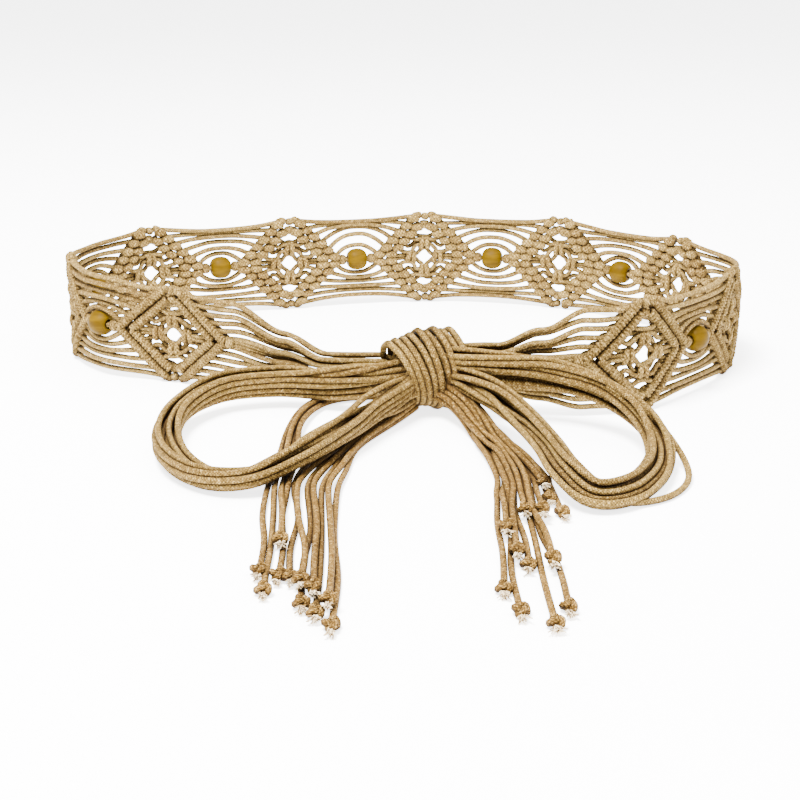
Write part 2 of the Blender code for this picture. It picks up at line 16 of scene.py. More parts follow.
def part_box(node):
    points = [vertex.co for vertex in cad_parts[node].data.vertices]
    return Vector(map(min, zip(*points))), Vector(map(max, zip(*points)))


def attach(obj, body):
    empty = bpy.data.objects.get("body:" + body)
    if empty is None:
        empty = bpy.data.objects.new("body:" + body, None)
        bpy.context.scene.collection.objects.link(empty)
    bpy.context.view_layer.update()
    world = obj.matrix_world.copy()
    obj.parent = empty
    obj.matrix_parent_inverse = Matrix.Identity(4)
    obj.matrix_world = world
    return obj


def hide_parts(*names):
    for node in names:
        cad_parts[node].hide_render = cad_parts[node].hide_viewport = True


MM = 0.001
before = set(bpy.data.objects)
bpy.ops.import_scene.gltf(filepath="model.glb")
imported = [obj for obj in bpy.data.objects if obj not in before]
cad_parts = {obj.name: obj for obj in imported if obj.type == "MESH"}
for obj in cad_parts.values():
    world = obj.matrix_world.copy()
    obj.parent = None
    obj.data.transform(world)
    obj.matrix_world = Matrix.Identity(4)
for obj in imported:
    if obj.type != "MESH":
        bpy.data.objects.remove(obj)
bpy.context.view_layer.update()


# %% [markdown]
# ## Camera
# The photograph looks a little down on the belt from in front, with a long lens. The camera was
# fitted to the outline of the band, and it stands first.

# %% Set the camera
CAMERA_PLACE = (-0.0022, -0.6773, 0.2141)
CAMERA_PITCH = 18.184
CAMERA_LENS = 65.0

camera_data = bpy.data.cameras.new("camera")
camera_data.lens = CAMERA_LENS
camera_data.sensor_width = 36.0
camera_data.clip_start = 0.01
camera_data.clip_end = 100.0
camera = bpy.data.objects.new("camera", camera_data)
camera.location = CAMERA_PLACE
camera.rotation_euler = (math.radians(90.0 - CAMERA_PITCH), 0.0, 0.0)
bpy.context.scene.collection.objects.link(camera)
bpy.context.scene.camera = camera
print("camera height in mm:", round(CAMERA_PLACE[2] / MM, 1))

# %% [markdown]
# ## The belt's line
# The band follows one smooth line on the table, taken from the same points as the CAD model. All
# flat work is drawn as length, thickness and height, and is then laid along that line.

# %% The route on the table
WAIST_DEPTH_SHARE = 0.612
KNOT_SHARE = (0.047, -0.976)
PITCH = 80.9
BAND_HEIGHT = 54.5
HALF_HEIGHT = BAND_HEIGHT / 2
DIAMOND_LENGTH = 64.0
TIP_FLAT = 11.0
DIAMOND_COUNT = 9
DIAMOND_ROWS = (3, 19)
WAIST_ROUTE = (
    (-0.060, -0.905),
    (-0.282, -0.800),
    (-0.471, -0.680),
    (-0.659, -0.548),
    (-0.876, -0.432),
    (-1.000, -0.125),
    (-0.994, 0.250),
    (-0.853, 0.558),
    (-0.618, 0.721),
    (-0.376, 0.837),
    (-0.141, 0.942),
    (0.106, 1.000),
    (0.347, 0.942),
    (0.565, 0.808),
    (0.747, 0.567),
    (0.900, 0.269),
    (1.000, -0.087),
    (0.929, -0.452),
    (0.794, -0.750),
    (0.641, -0.975),
    (0.471, -1.050),
    (0.306, -1.030),
    (0.150, -0.975),
)


def smooth(points, step):
    """Rows about one step apart on a smooth curve through the given rows."""
    rows = np.asarray(points, float)
    rows = np.vstack([2 * rows[0] - rows[1], rows, 2 * rows[-1] - rows[-2]])
    made = []
    for a, b, c, d in zip(rows, rows[1:], rows[2:], rows[3:]):
        count = max(1, round(float(np.linalg.norm((c - b)[:3])) / step))
        t = np.arange(count)[:, None] / count
        cubic = 2 * b + (c - a) * t + (2 * a - 5 * b + 4 * c - d) * t * t
        made.append(0.5 * (cubic + (3 * b - a - 3 * c + d) * t * t * t))
    made.append(rows[-2][None])
    return np.vstack(made)


def walked(line):
    """The length along a line at each of its points."""
    steps = np.linalg.norm(np.diff(line, axis=0), axis=1)
    return np.concatenate([[0.0], np.cumsum(steps)])


def waist_line(half_width):
    """The waist's rows and smooth line, and the lengths of the first and last diamond on it."""
    rows = np.array([(x - KNOT_SHARE[0], y - KNOT_SHARE[1], 0.0) for x, y in WAIST_ROUTE])
    rows *= (half_width, half_width * WAIST_DEPTH_SHARE, 0.0)
    line = smooth(rows, 0.01 * half_width)
    length = walked(line)
    ends = [length[np.argmin(np.linalg.norm(line - rows[k], axis=1))] for k in DIAMOND_ROWS]
    return line, length, ends


_, _, ends = waist_line(1.0)
WAIST_HALF_WIDTH = PITCH * (DIAMOND_COUNT - 1) / (ends[1] - ends[0])
ROUTE, STATION, (FIRST, LAST) = waist_line(WAIST_HALF_WIDTH)
ROUTE_AHEAD = np.gradient(ROUTE, STATION, axis=0)


def route_at(length):
    """Points on the route and the directions ahead and outward at lengths along it."""
    length = np.clip(length, 0.0, STATION[-1])
    point = np.column_stack([np.interp(length, STATION, ROUTE[:, k]) for k in (0, 1)])
    ahead = np.column_stack([np.interp(length, STATION, ROUTE_AHEAD[:, k]) for k in (0, 1)])
    ahead /= np.linalg.norm(ahead, axis=1)[:, None]
    outward = np.column_stack([-ahead[:, 1], ahead[:, 0]])
    return point, ahead, outward


bead_low, bead_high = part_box("bead_5")
bead_middle = route_at(np.array([FIRST + 4.5 * PITCH]))[0][0]
SHIFT = bead_middle - np.array([(bead_low[k] + bead_high[k]) / 2 / MM for k in (0, 1)])
print("waist half width in mm:", round(WAIST_HALF_WIDTH, 2), "shift in mm:", SHIFT.round(2))

# %% [markdown]
# The band's edges aren't level all the way. Towards the bow the sixteen cords gather into a loose
# bundle, so the height there shrinks and the thickness grows.

# %% Lay flat work along the route
EDGE_TABLE = np.array(
    (
        (-1.45, 0.145, 0.50, 3.4),
        (-1.00, 0.140, 0.46, 3.2),
        (-0.75, 0.100, 0.62, 2.2),
        (-0.40, 0.020, 0.84, 1.1),
        (0.00, 0.000, 0.885, 1.0),
        (0.50, 0.000, 0.985, 1.0),
        (1.00, 0.000, 1.000, 1.0),
        (8.00, 0.000, 1.000, 1.0),
        (8.35, 0.020, 0.960, 1.1),
        (8.60, 0.100, 0.800, 2.0),
        (8.85, 0.160, 0.640, 3.0),
        (9.45, 0.160, 0.560, 3.4),
    )
)


def edge(place, column):
    """A column of the edge table at places along the band, in diamond pitches."""
    row = np.clip(np.searchsorted(EDGE_TABLE[:, 0], place) - 1, 0, len(EDGE_TABLE) - 2)
    low, high = EDGE_TABLE[row], EDGE_TABLE[row + 1]
    share = np.clip((place - low[:, 0]) / (high[:, 0] - low[:, 0]), 0.0, 1.0)
    share = share * share * (3 - 2 * share)
    return low[:, column] + (high[:, column] - low[:, column]) * share


def to_world(points):
    """Points of the CAD model's route, in millimetres, as points of the frame in metres."""
    moved = np.array(points, float)
    moved[:, 0] -= SHIFT[0]
    moved[:, 1] -= SHIFT[1]
    return moved * MM


def laid(flat, middle):
    """Flat points (length, thickness, height above the middle) laid round the length middle."""
    flat = np.asarray(flat, float)
    length = middle + flat[:, 0]
    point, ahead, outward = route_at(length)
    place = (length - FIRST) / PITCH
    low, high = edge(place, 1), edge(place, 2)
    spot = point + outward * flat[:, 1:2]
    height = BAND_HEIGHT * low + (high - low) * (flat[:, 2] + HALF_HEIGHT)
    return to_world(np.column_stack([spot, height]))


print("band height at the first diamond in mm:", BAND_HEIGHT * 0.885)

# %% [markdown]
# ## Bundles of cords
# A loop of the bow is a bundle whose cords lie side by side and swap places now and then. Each
# cord is a small disc in the bundle's oval section. Walking along the bundle, the discs push each
# other apart and the oval holds them in, as a hand does that draws the cords through it.

# %% Pack cords inside an oval section
def packed(discs, thick, half_wide, half_tall, rounds):
    """Discs pushed apart and kept inside an oval."""
    limit = np.array([max(0.1, half_wide - thick / 2), max(0.1, half_tall - thick / 2)])
    for _ in range(rounds):
        gap = discs[:, None, :] - discs[None, :, :]
        far = np.linalg.norm(gap, axis=2) + np.eye(len(discs)) * 1e3
        push = np.clip(thick - far, 0.0, None) / far * 0.5
        discs = discs + (gap * push[:, :, None]).sum(axis=1) * 0.6
        out = np.linalg.norm(discs / limit, axis=1)
        discs = discs / np.clip(out, 1.0, None)[:, None]
    return discs


def softened(values, reach):
    """Rows averaged with their neighbours, the first and last ones kept."""
    made = values.copy()
    for _ in range(reach):
        made[1:-1] = (made[:-2] + 2 * made[1:-1] + made[2:]) / 4
    return made


def bundle(rows, count, thick, twist, seed, restless=0.12):
    """The lines of the cords in a bundle, from rows of x, y, z, width and height."""
    chance = np.random.default_rng(seed)
    table = smooth(rows, 3.0)
    line = table[:, :3]
    ahead = np.gradient(line, axis=0)
    ahead /= np.linalg.norm(ahead, axis=1)[:, None]
    across = np.column_stack([ahead[:, 1], -ahead[:, 0], np.zeros(len(line))])
    across /= np.linalg.norm(across, axis=1)[:, None]
    up = np.cross(across, ahead)
    turn = np.arange(count) * 2.39996
    reach = np.sqrt((np.arange(count) + 0.5) / count)[:, None]
    discs = np.column_stack([np.cos(turn), np.sin(turn)]) * reach
    discs = discs * table[0, 3:5] / 2
    wander = chance.uniform(-1.0, 1.0, (count, 2))
    places = []
    for row in table:
        a = math.radians(twist) * 3.0
        spin = np.array([[math.cos(a), -math.sin(a)], [math.sin(a), math.cos(a)]])
        size = row[3:5]
        discs = (discs / size) @ spin * size
        wander = 0.97 * wander + chance.normal(0.0, 0.22, (count, 2))
        discs = packed(discs + wander * restless, thick, size[0] / 2, size[1] / 2, 14)
        places.append(discs)
    places = np.array(places)
    cords = []
    for k in range(count):
        spot = softened(places[:, k], 6)
        cords.append(line + across * spot[:, :1] + up * spot[:, 1:])
    return cords


print("bundles: packed in ovals every 3 mm")

# %% [markdown]
# Loose cords must not run through each other. After the lines are drawn, points of different cords
# that come too close are moved apart, each line is smoothed a little, and nothing goes below the
# table.

# %% Keep cords out of each other
def parted(cords, thick, rounds, floor=True):
    """Cords whose points are pushed apart until they only touch."""
    owner = np.concatenate([np.full(len(c), k) for k, c in enumerate(cords)])
    ends = np.cumsum([len(c) for c in cords])
    points = np.vstack(cords)
    for _ in range(rounds):
        tree = KDTree(len(points))
        for k, point in enumerate(points):
            tree.insert(point, k)
        tree.balance()
        move = np.zeros_like(points)
        for k, point in enumerate(points):
            for other, n, far in tree.find_range(point, thick):
                if owner[n] != owner[k] and far > 1e-6:
                    move[k] += (point - np.array(other)) / far * (thick - far) * 0.3
        points = points + np.clip(move, -0.5, 0.5)
        start = 0
        for end in ends:
            points[start + 1 : end - 1] = softened(points[start:end], 1)[1:-1]
            start = end
        if floor:
            points[:, 2] = np.maximum(points[:, 2], thick / 2 + 0.05)
    return np.split(points, ends[:-1])


print("cords: parted by their own thickness")

# %% [markdown]
# ## How a cord gets its body
# One Geometry Nodes tree sweeps a round section along every line it is given. It stores the
# length along the cord in millimetres and the place round it as a UV map, which the braid of the
# material follows. The ends shrink to a point, so each cord is a closed body.

# %% The cord tree
def add(tree, kind, inputs=(), **settings):
    """Add a node with its settings and with values or links on its inputs."""
    made = tree.nodes.new(kind)
    for name, value in settings.items():
        setattr(made, name, value)
    for key, value in dict(inputs).items():
        if isinstance(value, bpy.types.NodeSocket):
            tree.links.new(value, made.inputs[key])
        else:
            made.inputs[key].default_value = value
    return made


def new_tree(name, sockets):
    """An empty Geometry Nodes tree with named inputs, and its two end nodes."""
    tree = bpy.data.node_groups.new(name, "GeometryNodeTree")
    tree.interface.new_socket("Geometry", in_out="OUTPUT", socket_type="NodeSocketGeometry")
    tree.interface.new_socket("Geometry", in_out="INPUT", socket_type="NodeSocketGeometry")
    for label, kind in sockets:
        tree.interface.new_socket(label, in_out="INPUT", socket_type=kind)
    return tree, tree.nodes.new("NodeGroupInput"), tree.nodes.new("NodeGroupOutput")


def captured(tree, geometry, value, domain):
    """Hold a value on a geometry: returns the geometry and the held value."""
    held = add(tree, "GeometryNodeCaptureAttribute", {"Geometry": geometry}, domain=domain)
    item = held.capture_items.new("FLOAT", "held")
    tree.links.new(value, held.inputs[1])
    return held.outputs["Geometry"], held.outputs[1]


def finished(tree, geometry, given, out):
    """End a tree: plain geometry with its material."""
    plain = add(tree, "GeometryNodeRealizeInstances", {"Geometry": geometry})
    look = add(
        tree,
        "GeometryNodeSetMaterial",
        {"Geometry": plain.outputs[0], "Material": given.outputs["Material"]},
    )
    tree.links.new(look.outputs[0], out.inputs[0])


WELD = 0.000002
cord_tree, given, out = new_tree(
    "cord",
    (
        ("Thickness", "NodeSocketFloat"),
        ("Sides", "NodeSocketInt"),
        ("Seed", "NodeSocketInt"),
        ("Material", "NodeSocketMaterial"),
    ),
)
line_facts = add(cord_tree, "GeometryNodeSplineParameter")
whose = add(cord_tree, "GeometryNodeCurveOfPoint")
shade = add(
    cord_tree,
    "FunctionNodeRandomValue",
    {"ID": whose.outputs["Curve Index"], "Seed": given.outputs["Seed"]},
)
line, along = captured(cord_tree, given.outputs["Geometry"], line_facts.outputs["Length"], "POINT")
line, chance = captured(cord_tree, line, shade.outputs["Value"], "POINT")
around = add(cord_tree, "ShaderNodeMath", {0: given.outputs["Sides"], 1: 1.0}, operation="ADD")
half = add(
    cord_tree, "ShaderNodeMath", {0: given.outputs["Thickness"], 1: 0.5}, operation="MULTIPLY"
)
section = add(
    cord_tree,
    "GeometryNodeCurveArc",
    {"Resolution": around.outputs[0], "Radius": half.outputs[0], "Sweep Angle": math.tau},
)
section_facts = add(cord_tree, "GeometryNodeSplineParameter")
ring, turn = captured(
    cord_tree, section.outputs["Curve"], section_facts.outputs["Factor"], "POINT"
)
own_radius = add(cord_tree, "GeometryNodeInputRadius")
swept = add(
    cord_tree,
    "GeometryNodeCurveToMesh",
    {"Curve": line, "Profile Curve": ring, "Scale": own_radius.outputs[0]},
)
in_mm = add(cord_tree, "ShaderNodeMath", {0: along, 1: 1 / MM}, operation="MULTIPLY")
place = add(cord_tree, "ShaderNodeCombineXYZ", {"X": in_mm.outputs[0], "Y": turn})
mapped = add(
    cord_tree,
    "GeometryNodeStoreNamedAttribute",
    {"Geometry": swept.outputs[0], "Name": "UVMap"},
    data_type="FLOAT2",
    domain="CORNER",
)
cord_tree.links.new(place.outputs[0], mapped.inputs["Value"])
shaded = add(
    cord_tree,
    "GeometryNodeStoreNamedAttribute",
    {"Geometry": mapped.outputs[0], "Name": "shade"},
    data_type="FLOAT",
    domain="POINT",
)
cord_tree.links.new(chance, shaded.inputs["Value"])
welded = add(
    cord_tree,
    "GeometryNodeMergeByDistance",
    {"Geometry": shaded.outputs[0], "Distance": WELD},
)
rounded = add(cord_tree, "GeometryNodeSetShadeSmooth", {"Geometry": welded.outputs[0]})
finished(cord_tree, rounded.outputs[0], given, out)
print("cord tree nodes:", len(cord_tree.nodes))

# %% [markdown]
# Every piece is made as a plain mesh: the tree runs once on a holder, its result is kept, and the
# holder goes. The piece then rides on the belt and stands for its CAD solid.

# %% Turn lines into pieces
TIP = ((0.0, 0.0), (0.06, 0.55), (0.22, 0.88), (0.5, 1.0))


def evaluated(holder):
    """The mesh that a holder's modifiers make."""
    bpy.context.view_layer.update()
    graph = bpy.context.evaluated_depsgraph_get()
    mesh = bpy.data.meshes.new_from_object(holder.evaluated_get(graph))
    mesh.name = holder.name + "_mesh"
    return mesh


def run_tree(holder, tree, values):
    """Run a tree once on a holder, with its inputs set by name, and remove the holder."""
    modifier = holder.modifiers.new("tree", "NODES")
    modifier.node_group = tree
    for item in tree.interface.items_tree:
        if item.item_type == "SOCKET" and item.name in values:
            modifier[item.identifier] = values[item.name]
    mesh = evaluated(holder)
    holder.modifiers.remove(modifier)
    bpy.data.objects.remove(holder)
    return mesh


def rounded_ends(line, thick):
    """A line with its radius at each point, closing to a point at both ends."""
    line = np.asarray(line, float)
    radius = np.ones(len(line))
    for _ in range(2):
        ahead = line[1] - line[0]
        ahead /= np.linalg.norm(ahead)
        tip = np.array([line[0] + ahead * thick * far for far, _ in TIP])
        keep = walked(line) > thick * 0.75
        line = np.vstack([tip, line[keep]])
        radius = np.concatenate([[size for _, size in TIP], radius[keep]])
        line, radius = line[::-1], radius[::-1]
    return line, radius


def cord_mesh(name, lines, thick, look, sides=8, seed=1):
    """The mesh of the cords that follow these lines, all in metres."""
    curve = bpy.data.curves.new(name, "CURVE")
    curve.dimensions = "3D"
    for line in lines:
        line, radius = rounded_ends(line, thick)
        spline = curve.splines.new("POLY")
        spline.points.add(len(line) - 1)
        rows = np.column_stack([line, np.ones(len(line))])
        spline.points.foreach_set("co", rows.ravel())
        spline.points.foreach_set("radius", radius)
    holder = bpy.data.objects.new(name, curve)
    bpy.context.scene.collection.objects.link(holder)
    values = {"Thickness": float(thick), "Sides": sides, "Seed": seed, "Material": look}
    return run_tree(holder, cord_tree, values)


def piece(name, mesh, nodes):
    """A finished piece that rides on the belt and stands for CAD nodes."""
    made = bpy.data.objects.new(name, mesh)
    bpy.context.scene.collection.objects.link(made)
    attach(made, "root")
    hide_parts(*nodes)
    return made


def triangles(mesh):
    """How many triangles a mesh has."""
    return sum(len(p.vertices) - 2 for p in mesh.polygons)


print("pieces: ready to make")

# %% [markdown]
# ## Cord finish
# The cord is a round braid of dyed cotton, softly matt. Two families of yarns cross on its
# surface, so the material crosses two waves: one per direction. A painted shade darkens and warms
# the grooves between yarns and the crevices between cords, painted highlights fleck the yarn
# crests, a fine fuzz breaks up the light, and each cord is a shade of its own.

# %% Cotton cord materials
def linear(code):
    """An sRGB hex colour as linear values."""
    parts = [int(code[k : k + 2], 16) / 255 for k in (1, 3, 5)]
    parts = [v / 12.92 if v <= 0.04045 else ((v + 0.055) / 1.055) ** 2.4 for v in parts]
    return (*parts, 1.0)


def maths(tree, operation, first, second=0.0, clamp=False):
    """The result of a Math node."""
    made = add(tree, "ShaderNodeMath", {0: first, 1: second}, operation=operation)
    made.use_clamp = clamp
    return made.outputs[0]


def blended(tree, share, first, second, mode="MIX"):
    """The colour from a Mix node."""
    made = add(
        tree, "ShaderNodeMix", {"Factor": share}, data_type="RGBA", blend_type=mode
    )
    for key, value in ((6, first), (7, second)):
        if isinstance(value, bpy.types.NodeSocket):
            tree.links.new(value, made.inputs[key])
        else:
            made.inputs[key].default_value = value
    return made.outputs[2]


def new_material(name):
    """A Principled material with its tree and its shader node."""
    made = bpy.data.materials.new(name)
    made.use_nodes = True
    return made, made.node_tree, made.node_tree.nodes["Principled BSDF"]


BRAID_PITCH = 2.6
BRAID_YARNS = 3.0


def cord_look(name, pale, deep, painted_shade_colour, braid):
    """Braided cotton: pale and deep shades, the colour of painted shade in grooves and crevices, and
    braid depth in metres.
    """
    made, tree, shader = new_material(name)
    spot = add(tree, "ShaderNodeAttribute", attribute_name="UVMap")
    parts = add(tree, "ShaderNodeSeparateXYZ", {0: spot.outputs["Vector"]})
    length = maths(tree, "MULTIPLY", parts.outputs[0], math.tau / BRAID_PITCH)
    round_it = maths(tree, "MULTIPLY", parts.outputs[1], math.tau * BRAID_YARNS)
    one = maths(tree, "SINE", maths(tree, "ADD", length, round_it))
    other = maths(tree, "SINE", maths(tree, "SUBTRACT", length, round_it))
    yarn = maths(tree, "ABSOLUTE", maths(tree, "MULTIPLY", one, other))
    yarn = maths(tree, "POWER", yarn, 0.5)
    place = add(tree, "ShaderNodeTexCoord")
    fuzz = add(
        tree,
        "ShaderNodeTexNoise",
        {"Vector": place.outputs["Object"], "Scale": 900.0, "Detail": 3.0, "Roughness": 0.7},
    )
    patch = add(
        tree,
        "ShaderNodeTexNoise",
        {"Vector": place.outputs["Object"], "Scale": 45.0, "Detail": 2.0, "Roughness": 0.5},
    )
    own = add(tree, "ShaderNodeAttribute", attribute_name="shade")
    tone = maths(tree, "MULTIPLY", own.outputs["Fac"], 0.55)
    tone = maths(tree, "ADD", tone, maths(tree, "MULTIPLY", patch.outputs["Fac"], 0.5), True)
    base = blended(tree, tone, linear(pale), linear(deep))
    # Painted shade: the grooves between the yarns are darkened towards the shade colour, standing in
    # for the shade that falls in them.
    depth = maths(tree, "SUBTRACT", 1.0, yarn)
    depth = maths(tree, "MULTIPLY", depth, 0.8, True)
    base = blended(tree, depth, base, linear(painted_shade_colour))
    speck = maths(tree, "SUBTRACT", fuzz.outputs["Fac"], 0.5)
    speck = maths(tree, "ADD", maths(tree, "MULTIPLY", speck, 3.4), 1.05)
    speck_colour = add(tree, "ShaderNodeCombineColor", {0: speck, 1: speck, 2: speck})
    base = blended(tree, 1.0, base, speck_colour.outputs[0], "MULTIPLY")
    # Painted highlight: pale cream flecks on the yarn crests, where the fibres would catch the light.
    painted_highlight = maths(tree, "MULTIPLY", maths(tree, "SUBTRACT", fuzz.outputs["Fac"], 0.52), 5.0, True)
    painted_highlight = maths(tree, "MULTIPLY", painted_highlight, maths(tree, "MULTIPLY", yarn, 0.62))
    base = blended(tree, painted_highlight, base, linear("#D6B878"))
    # Painted shade: an ambient occlusion mask darkens the colour towards the shade colour in crevices
    # and where cords touch each other.
    crevice_shade = add(tree, "ShaderNodeAmbientOcclusion", {"Distance": 0.0045}, samples=6)
    open_share = maths(tree, "POWER", crevice_shade.outputs["AO"], 1.6)
    base = blended(tree, open_share, linear(painted_shade_colour), base)
    tree.links.new(base, shader.inputs["Base Color"])
    height = maths(tree, "ADD", yarn, maths(tree, "MULTIPLY", fuzz.outputs["Fac"], 0.7))
    bump = add(
        tree, "ShaderNodeBump", {"Height": height, "Strength": 1.0, "Distance": braid}
    )
    tree.links.new(bump.outputs[0], shader.inputs["Normal"])
    shader.inputs["Roughness"].default_value = 0.82
    shader.inputs["Specular IOR Level"].default_value = 0.06
    return made


# The third colour of each cord is the painted shade of its grooves and crevices.
BAND_CORD = cord_look("cotton_cord_band", "#8C733E", "#644C22", "#241505", 0.00045)
BOW_CORD = cord_look("cotton_cord_bow", "#846A34", "#5A431B", "#221304", 0.00045)
TAIL_CORD = cord_look("cotton_cord_tails", "#80602A", "#543B14", "#221304", 0.00045)
print("cord materials:", [m.name for m in (BAND_CORD, BOW_CORD, TAIL_CORD)])

# %% [markdown]
# ## The loose cords of the tails
# Eleven cords leave the bow on the left and thirteen on the right. They come out of the knot
# together, spread on the table and end in small knots with frayed tips. They come first because
# their length is a fact of the belt, and the rest is arranged round them.

# %% Lines of the tails
TAIL_CORD_SIZE = 2.6
LEFT_ROOT = (
    (-6.0, 5.0, 8.0, 8.0, 6.0),
    (-14.0, 11.0, 4.4, 8.0, 6.0),
    (-28.0, 15.5, 3.4, 8.6, 5.6),
    (-42.0, 12.0, 2.9, 9.0, 5.4),
    (-53.0, -6.0, 2.8, 10.0, 5.3),
    (-57.0, -36.0, 2.8, 11.0, 5.3),
    (-56.0, -65.5, 2.8, 12.0, 4.6),
    (-58.0, -91.5, 2.8, 11.0, 4.0),
)
LEFT_UNDER_ROOT = (
    (-4.0, -6.0, 6.0, 9.0, 7.0),
    (-14.0, -20.0, 3.4, 12.0, 6.0),
    (-25.0, -40.0, 2.9, 16.0, 5.4),
    (-34.5, -64.0, 2.8, 23.0, 4.6),
    (-42.6, -91.5, 2.8, 21.5, 4.0),
)
RIGHT_ROOT = (
    (6.0, -6.0, 12.5, 9.0, 10.0),
    (16.0, -17.5, 11.5, 12.0, 10.0),
    (23.5, -31.0, 6.6, 17.0, 7.6),
    (27.5, -44.0, 3.4, 22.0, 5.6),
    (32.5, -62.0, 2.8, 24.0, 5.3),
    (38.0, -84.5, 2.8, 20.0, 5.3),
)
# Where each loose cord is tied off on the table, from left to right
LEFT_TIPS = (
    (-58.5, -180.5, 1.4),
    (-56.0, -195.5, 1.4),
    (-53.0, -158.5, 3.8),
    (-52.0, -184.5, 1.4),
    (-47.5, -185.5, 1.4),
    (-43.5, -192.5, 3.8),
    (-42.5, -205.5, 1.4),
    (-39.0, -198.5, 3.8),
    (-37.5, -212.5, 1.4),
    (-33.5, -207.5, 3.8),
    (-32.0, -221.5, 1.4),
)
RIGHT_TIPS = (
    (25.0, -194.5, 1.4),
    (29.5, -211.5, 1.4),
    (29.0, -147.5, 3.8),
    (31.5, -168.5, 3.8),
    (35.0, -175.5, 1.4),
    (37.5, -130.5, 3.8),
    (40.0, -219.5, 1.4),
    (43.5, -175.5, 3.8),
    (45.5, -208.5, 1.4),
    (44.0, -130.5, 3.8),
    (47.0, -102.5, 3.8),
    (49.5, -113.5, 1.4),
    (52.0, -128.5, 1.4),
)


def tail_lines(rows, tips, seed):
    """Each loose cord's line from the bow to its own end."""
    chance = np.random.default_rng(seed)
    roots = bundle(rows, len(tips), TAIL_CORD_SIZE, 0.0, seed)
    roots.sort(key=lambda line: line[-1, 0])
    end_x, wide = rows[-1][0], rows[-1][3]
    lines = []
    for k, (root, (x, y, low)) in enumerate(zip(roots, tips)):
        wanted = end_x + ((k + 0.5) / len(tips) - 0.5) * wide
        share = np.clip(2 * walked(root) / walked(root)[-1] - 1, 0.0, 1.0)
        root[:, 0] += (wanted - root[-1, 0]) * share * share * (3 - 2 * share)
        start = root[-1]
        ahead = (root[-1] - root[-3]) / np.linalg.norm(root[-1] - root[-3])
        run = start[1] - y
        rows = [start, start + ahead * min(8.0, run * 0.3)]
        wave = chance.uniform(-2.2, 2.2)
        for share in (0.45, 0.72):
            side = start[0] + (x - start[0]) * share + wave
            rows.append(np.array([side, start[1] - run * share, low]))
            wave = -wave * chance.uniform(0.5, 1.0)
        rows.append(np.array([x, y, low]))
        free = smooth(rows, 1.8)
        dense = smooth(root[::3], 1.8)
        lines.append(np.vstack([dense[:-1], free]))
    return lines


LEFT_BESIDE = 4
tails = tail_lines(LEFT_ROOT, LEFT_TIPS[:LEFT_BESIDE], 3)
tails += tail_lines(LEFT_UNDER_ROOT, LEFT_TIPS[LEFT_BESIDE:], 4)
tails += tail_lines(RIGHT_ROOT, RIGHT_TIPS, 8)
tails = [to_world(line) for line in parted(tails, TAIL_CORD_SIZE * 0.98, 40)]
tail_lengths = [walked(line)[-1] for line in tails]
print("loose cords:", len(tails), "lengths in mm:", round(min(tail_lengths) / MM), "to", end=" ")
print(round(max(tail_lengths) / MM))

# %% [markdown]
# Each loose cord ends in an overhand knot. Its cord crosses itself three times, so a closed
# three-lobed line stands for it. Past the knot the braid opens into a short brush of yarns.

# %% Ends of the loose cords
KNOT_SIZE = 2.3
FRAY_COUNT = 40
FRAY_LENGTH = 4.6
FRAY_THICK = 0.5


def overhand(centre, ahead, size, spin):
    """A closed three-lobed line round a cord, in metres."""
    t = np.linspace(0.0, math.tau, 31)[:-1]
    side = np.array([-ahead[1], ahead[0], 0.0])
    up = np.array([0.0, 0.0, 1.0])
    flat = np.column_stack([np.sin(t) + 2 * np.sin(2 * t), np.cos(t) - 2 * np.cos(2 * t)])
    lift = -np.sin(3 * t)
    turned = flat @ np.array([[math.cos(spin), -math.sin(spin)], [math.sin(spin), math.cos(spin)]])
    along = turned[:, :1] * ahead * 0.42
    across = turned[:, 1:] * side * 0.34
    return centre + (along + across + lift[:, None] * up * 0.42) * size * MM


def brush(start, ahead, chance):
    """Short lines of open yarns past a knot."""
    lines = []
    side = np.array([-ahead[1], ahead[0], 0.0])
    for _ in range(FRAY_COUNT):
        lean = chance.normal(0.0, 0.2)
        rise = chance.uniform(-0.1, 0.4)
        way = ahead + side * lean + np.array([0.0, 0.0, rise])
        reach = FRAY_LENGTH * chance.uniform(0.55, 1.0) * MM
        t = np.linspace(0.0, 1.0, 5)[:, None]
        bend = side * chance.uniform(-0.25, 0.25) * t * t
        root = side * chance.uniform(-0.9, 0.9) + np.array([0.0, 0.0, chance.uniform(-0.8, 0.8)])
        line = start + (way * t + bend) * reach + root * MM
        line[:, 2] = np.maximum(line[:, 2], FRAY_THICK / 2 * MM)
        lines.append(line)
    return lines


FRAY_LOOK, tree, shader = new_material("frayed_cotton")
own = add(tree, "ShaderNodeAttribute", attribute_name="shade")
fray_colour = blended(tree, own.outputs["Fac"], linear("#D2C2A0"), linear("#7E6238"))
tree.links.new(fray_colour, shader.inputs["Base Color"])
shader.inputs["Roughness"].default_value = 0.85
print("frays:", FRAY_COUNT, "yarns each")

TAIL_NODES = {
    "left": ["tail_root_left", "tail_root_left_under"]
    + [f"tail_left_{n}" for n in range(1, 6)],
    "right": ["tail_root_right"] + [f"tail_right_{n}" for n in range(1, 6)],
}


def joined_mesh(name, meshes):
    """One mesh from several, with their materials and attributes."""
    holders = []
    for mesh in meshes:
        holder = bpy.data.objects.new(name, mesh)
        bpy.context.scene.collection.objects.link(holder)
        holders.append(holder)
    with bpy.context.temp_override(
        active_object=holders[0], selected_editable_objects=holders, object=holders[0]
    ):
        bpy.ops.object.join()
    made = holders[0].data
    bpy.data.objects.remove(holders[0])
    made.name = name + "_mesh"
    return made


def closed_cord_mesh(name, lines, thick, look, sides, seed):
    """The mesh of closed rings of cord, all in metres."""
    curve = bpy.data.curves.new(name, "CURVE")
    curve.dimensions = "3D"
    for line in lines:
        spline = curve.splines.new("POLY")
        spline.points.add(len(line) - 1)
        spline.points.foreach_set("co", np.column_stack([line, np.ones(len(line))]).ravel())
        spline.use_cyclic_u = True
    holder = bpy.data.objects.new(name, curve)
    bpy.context.scene.collection.objects.link(holder)
    values = {"Thickness": float(thick), "Sides": sides, "Seed": seed, "Material": look}
    return run_tree(holder, cord_tree, values)


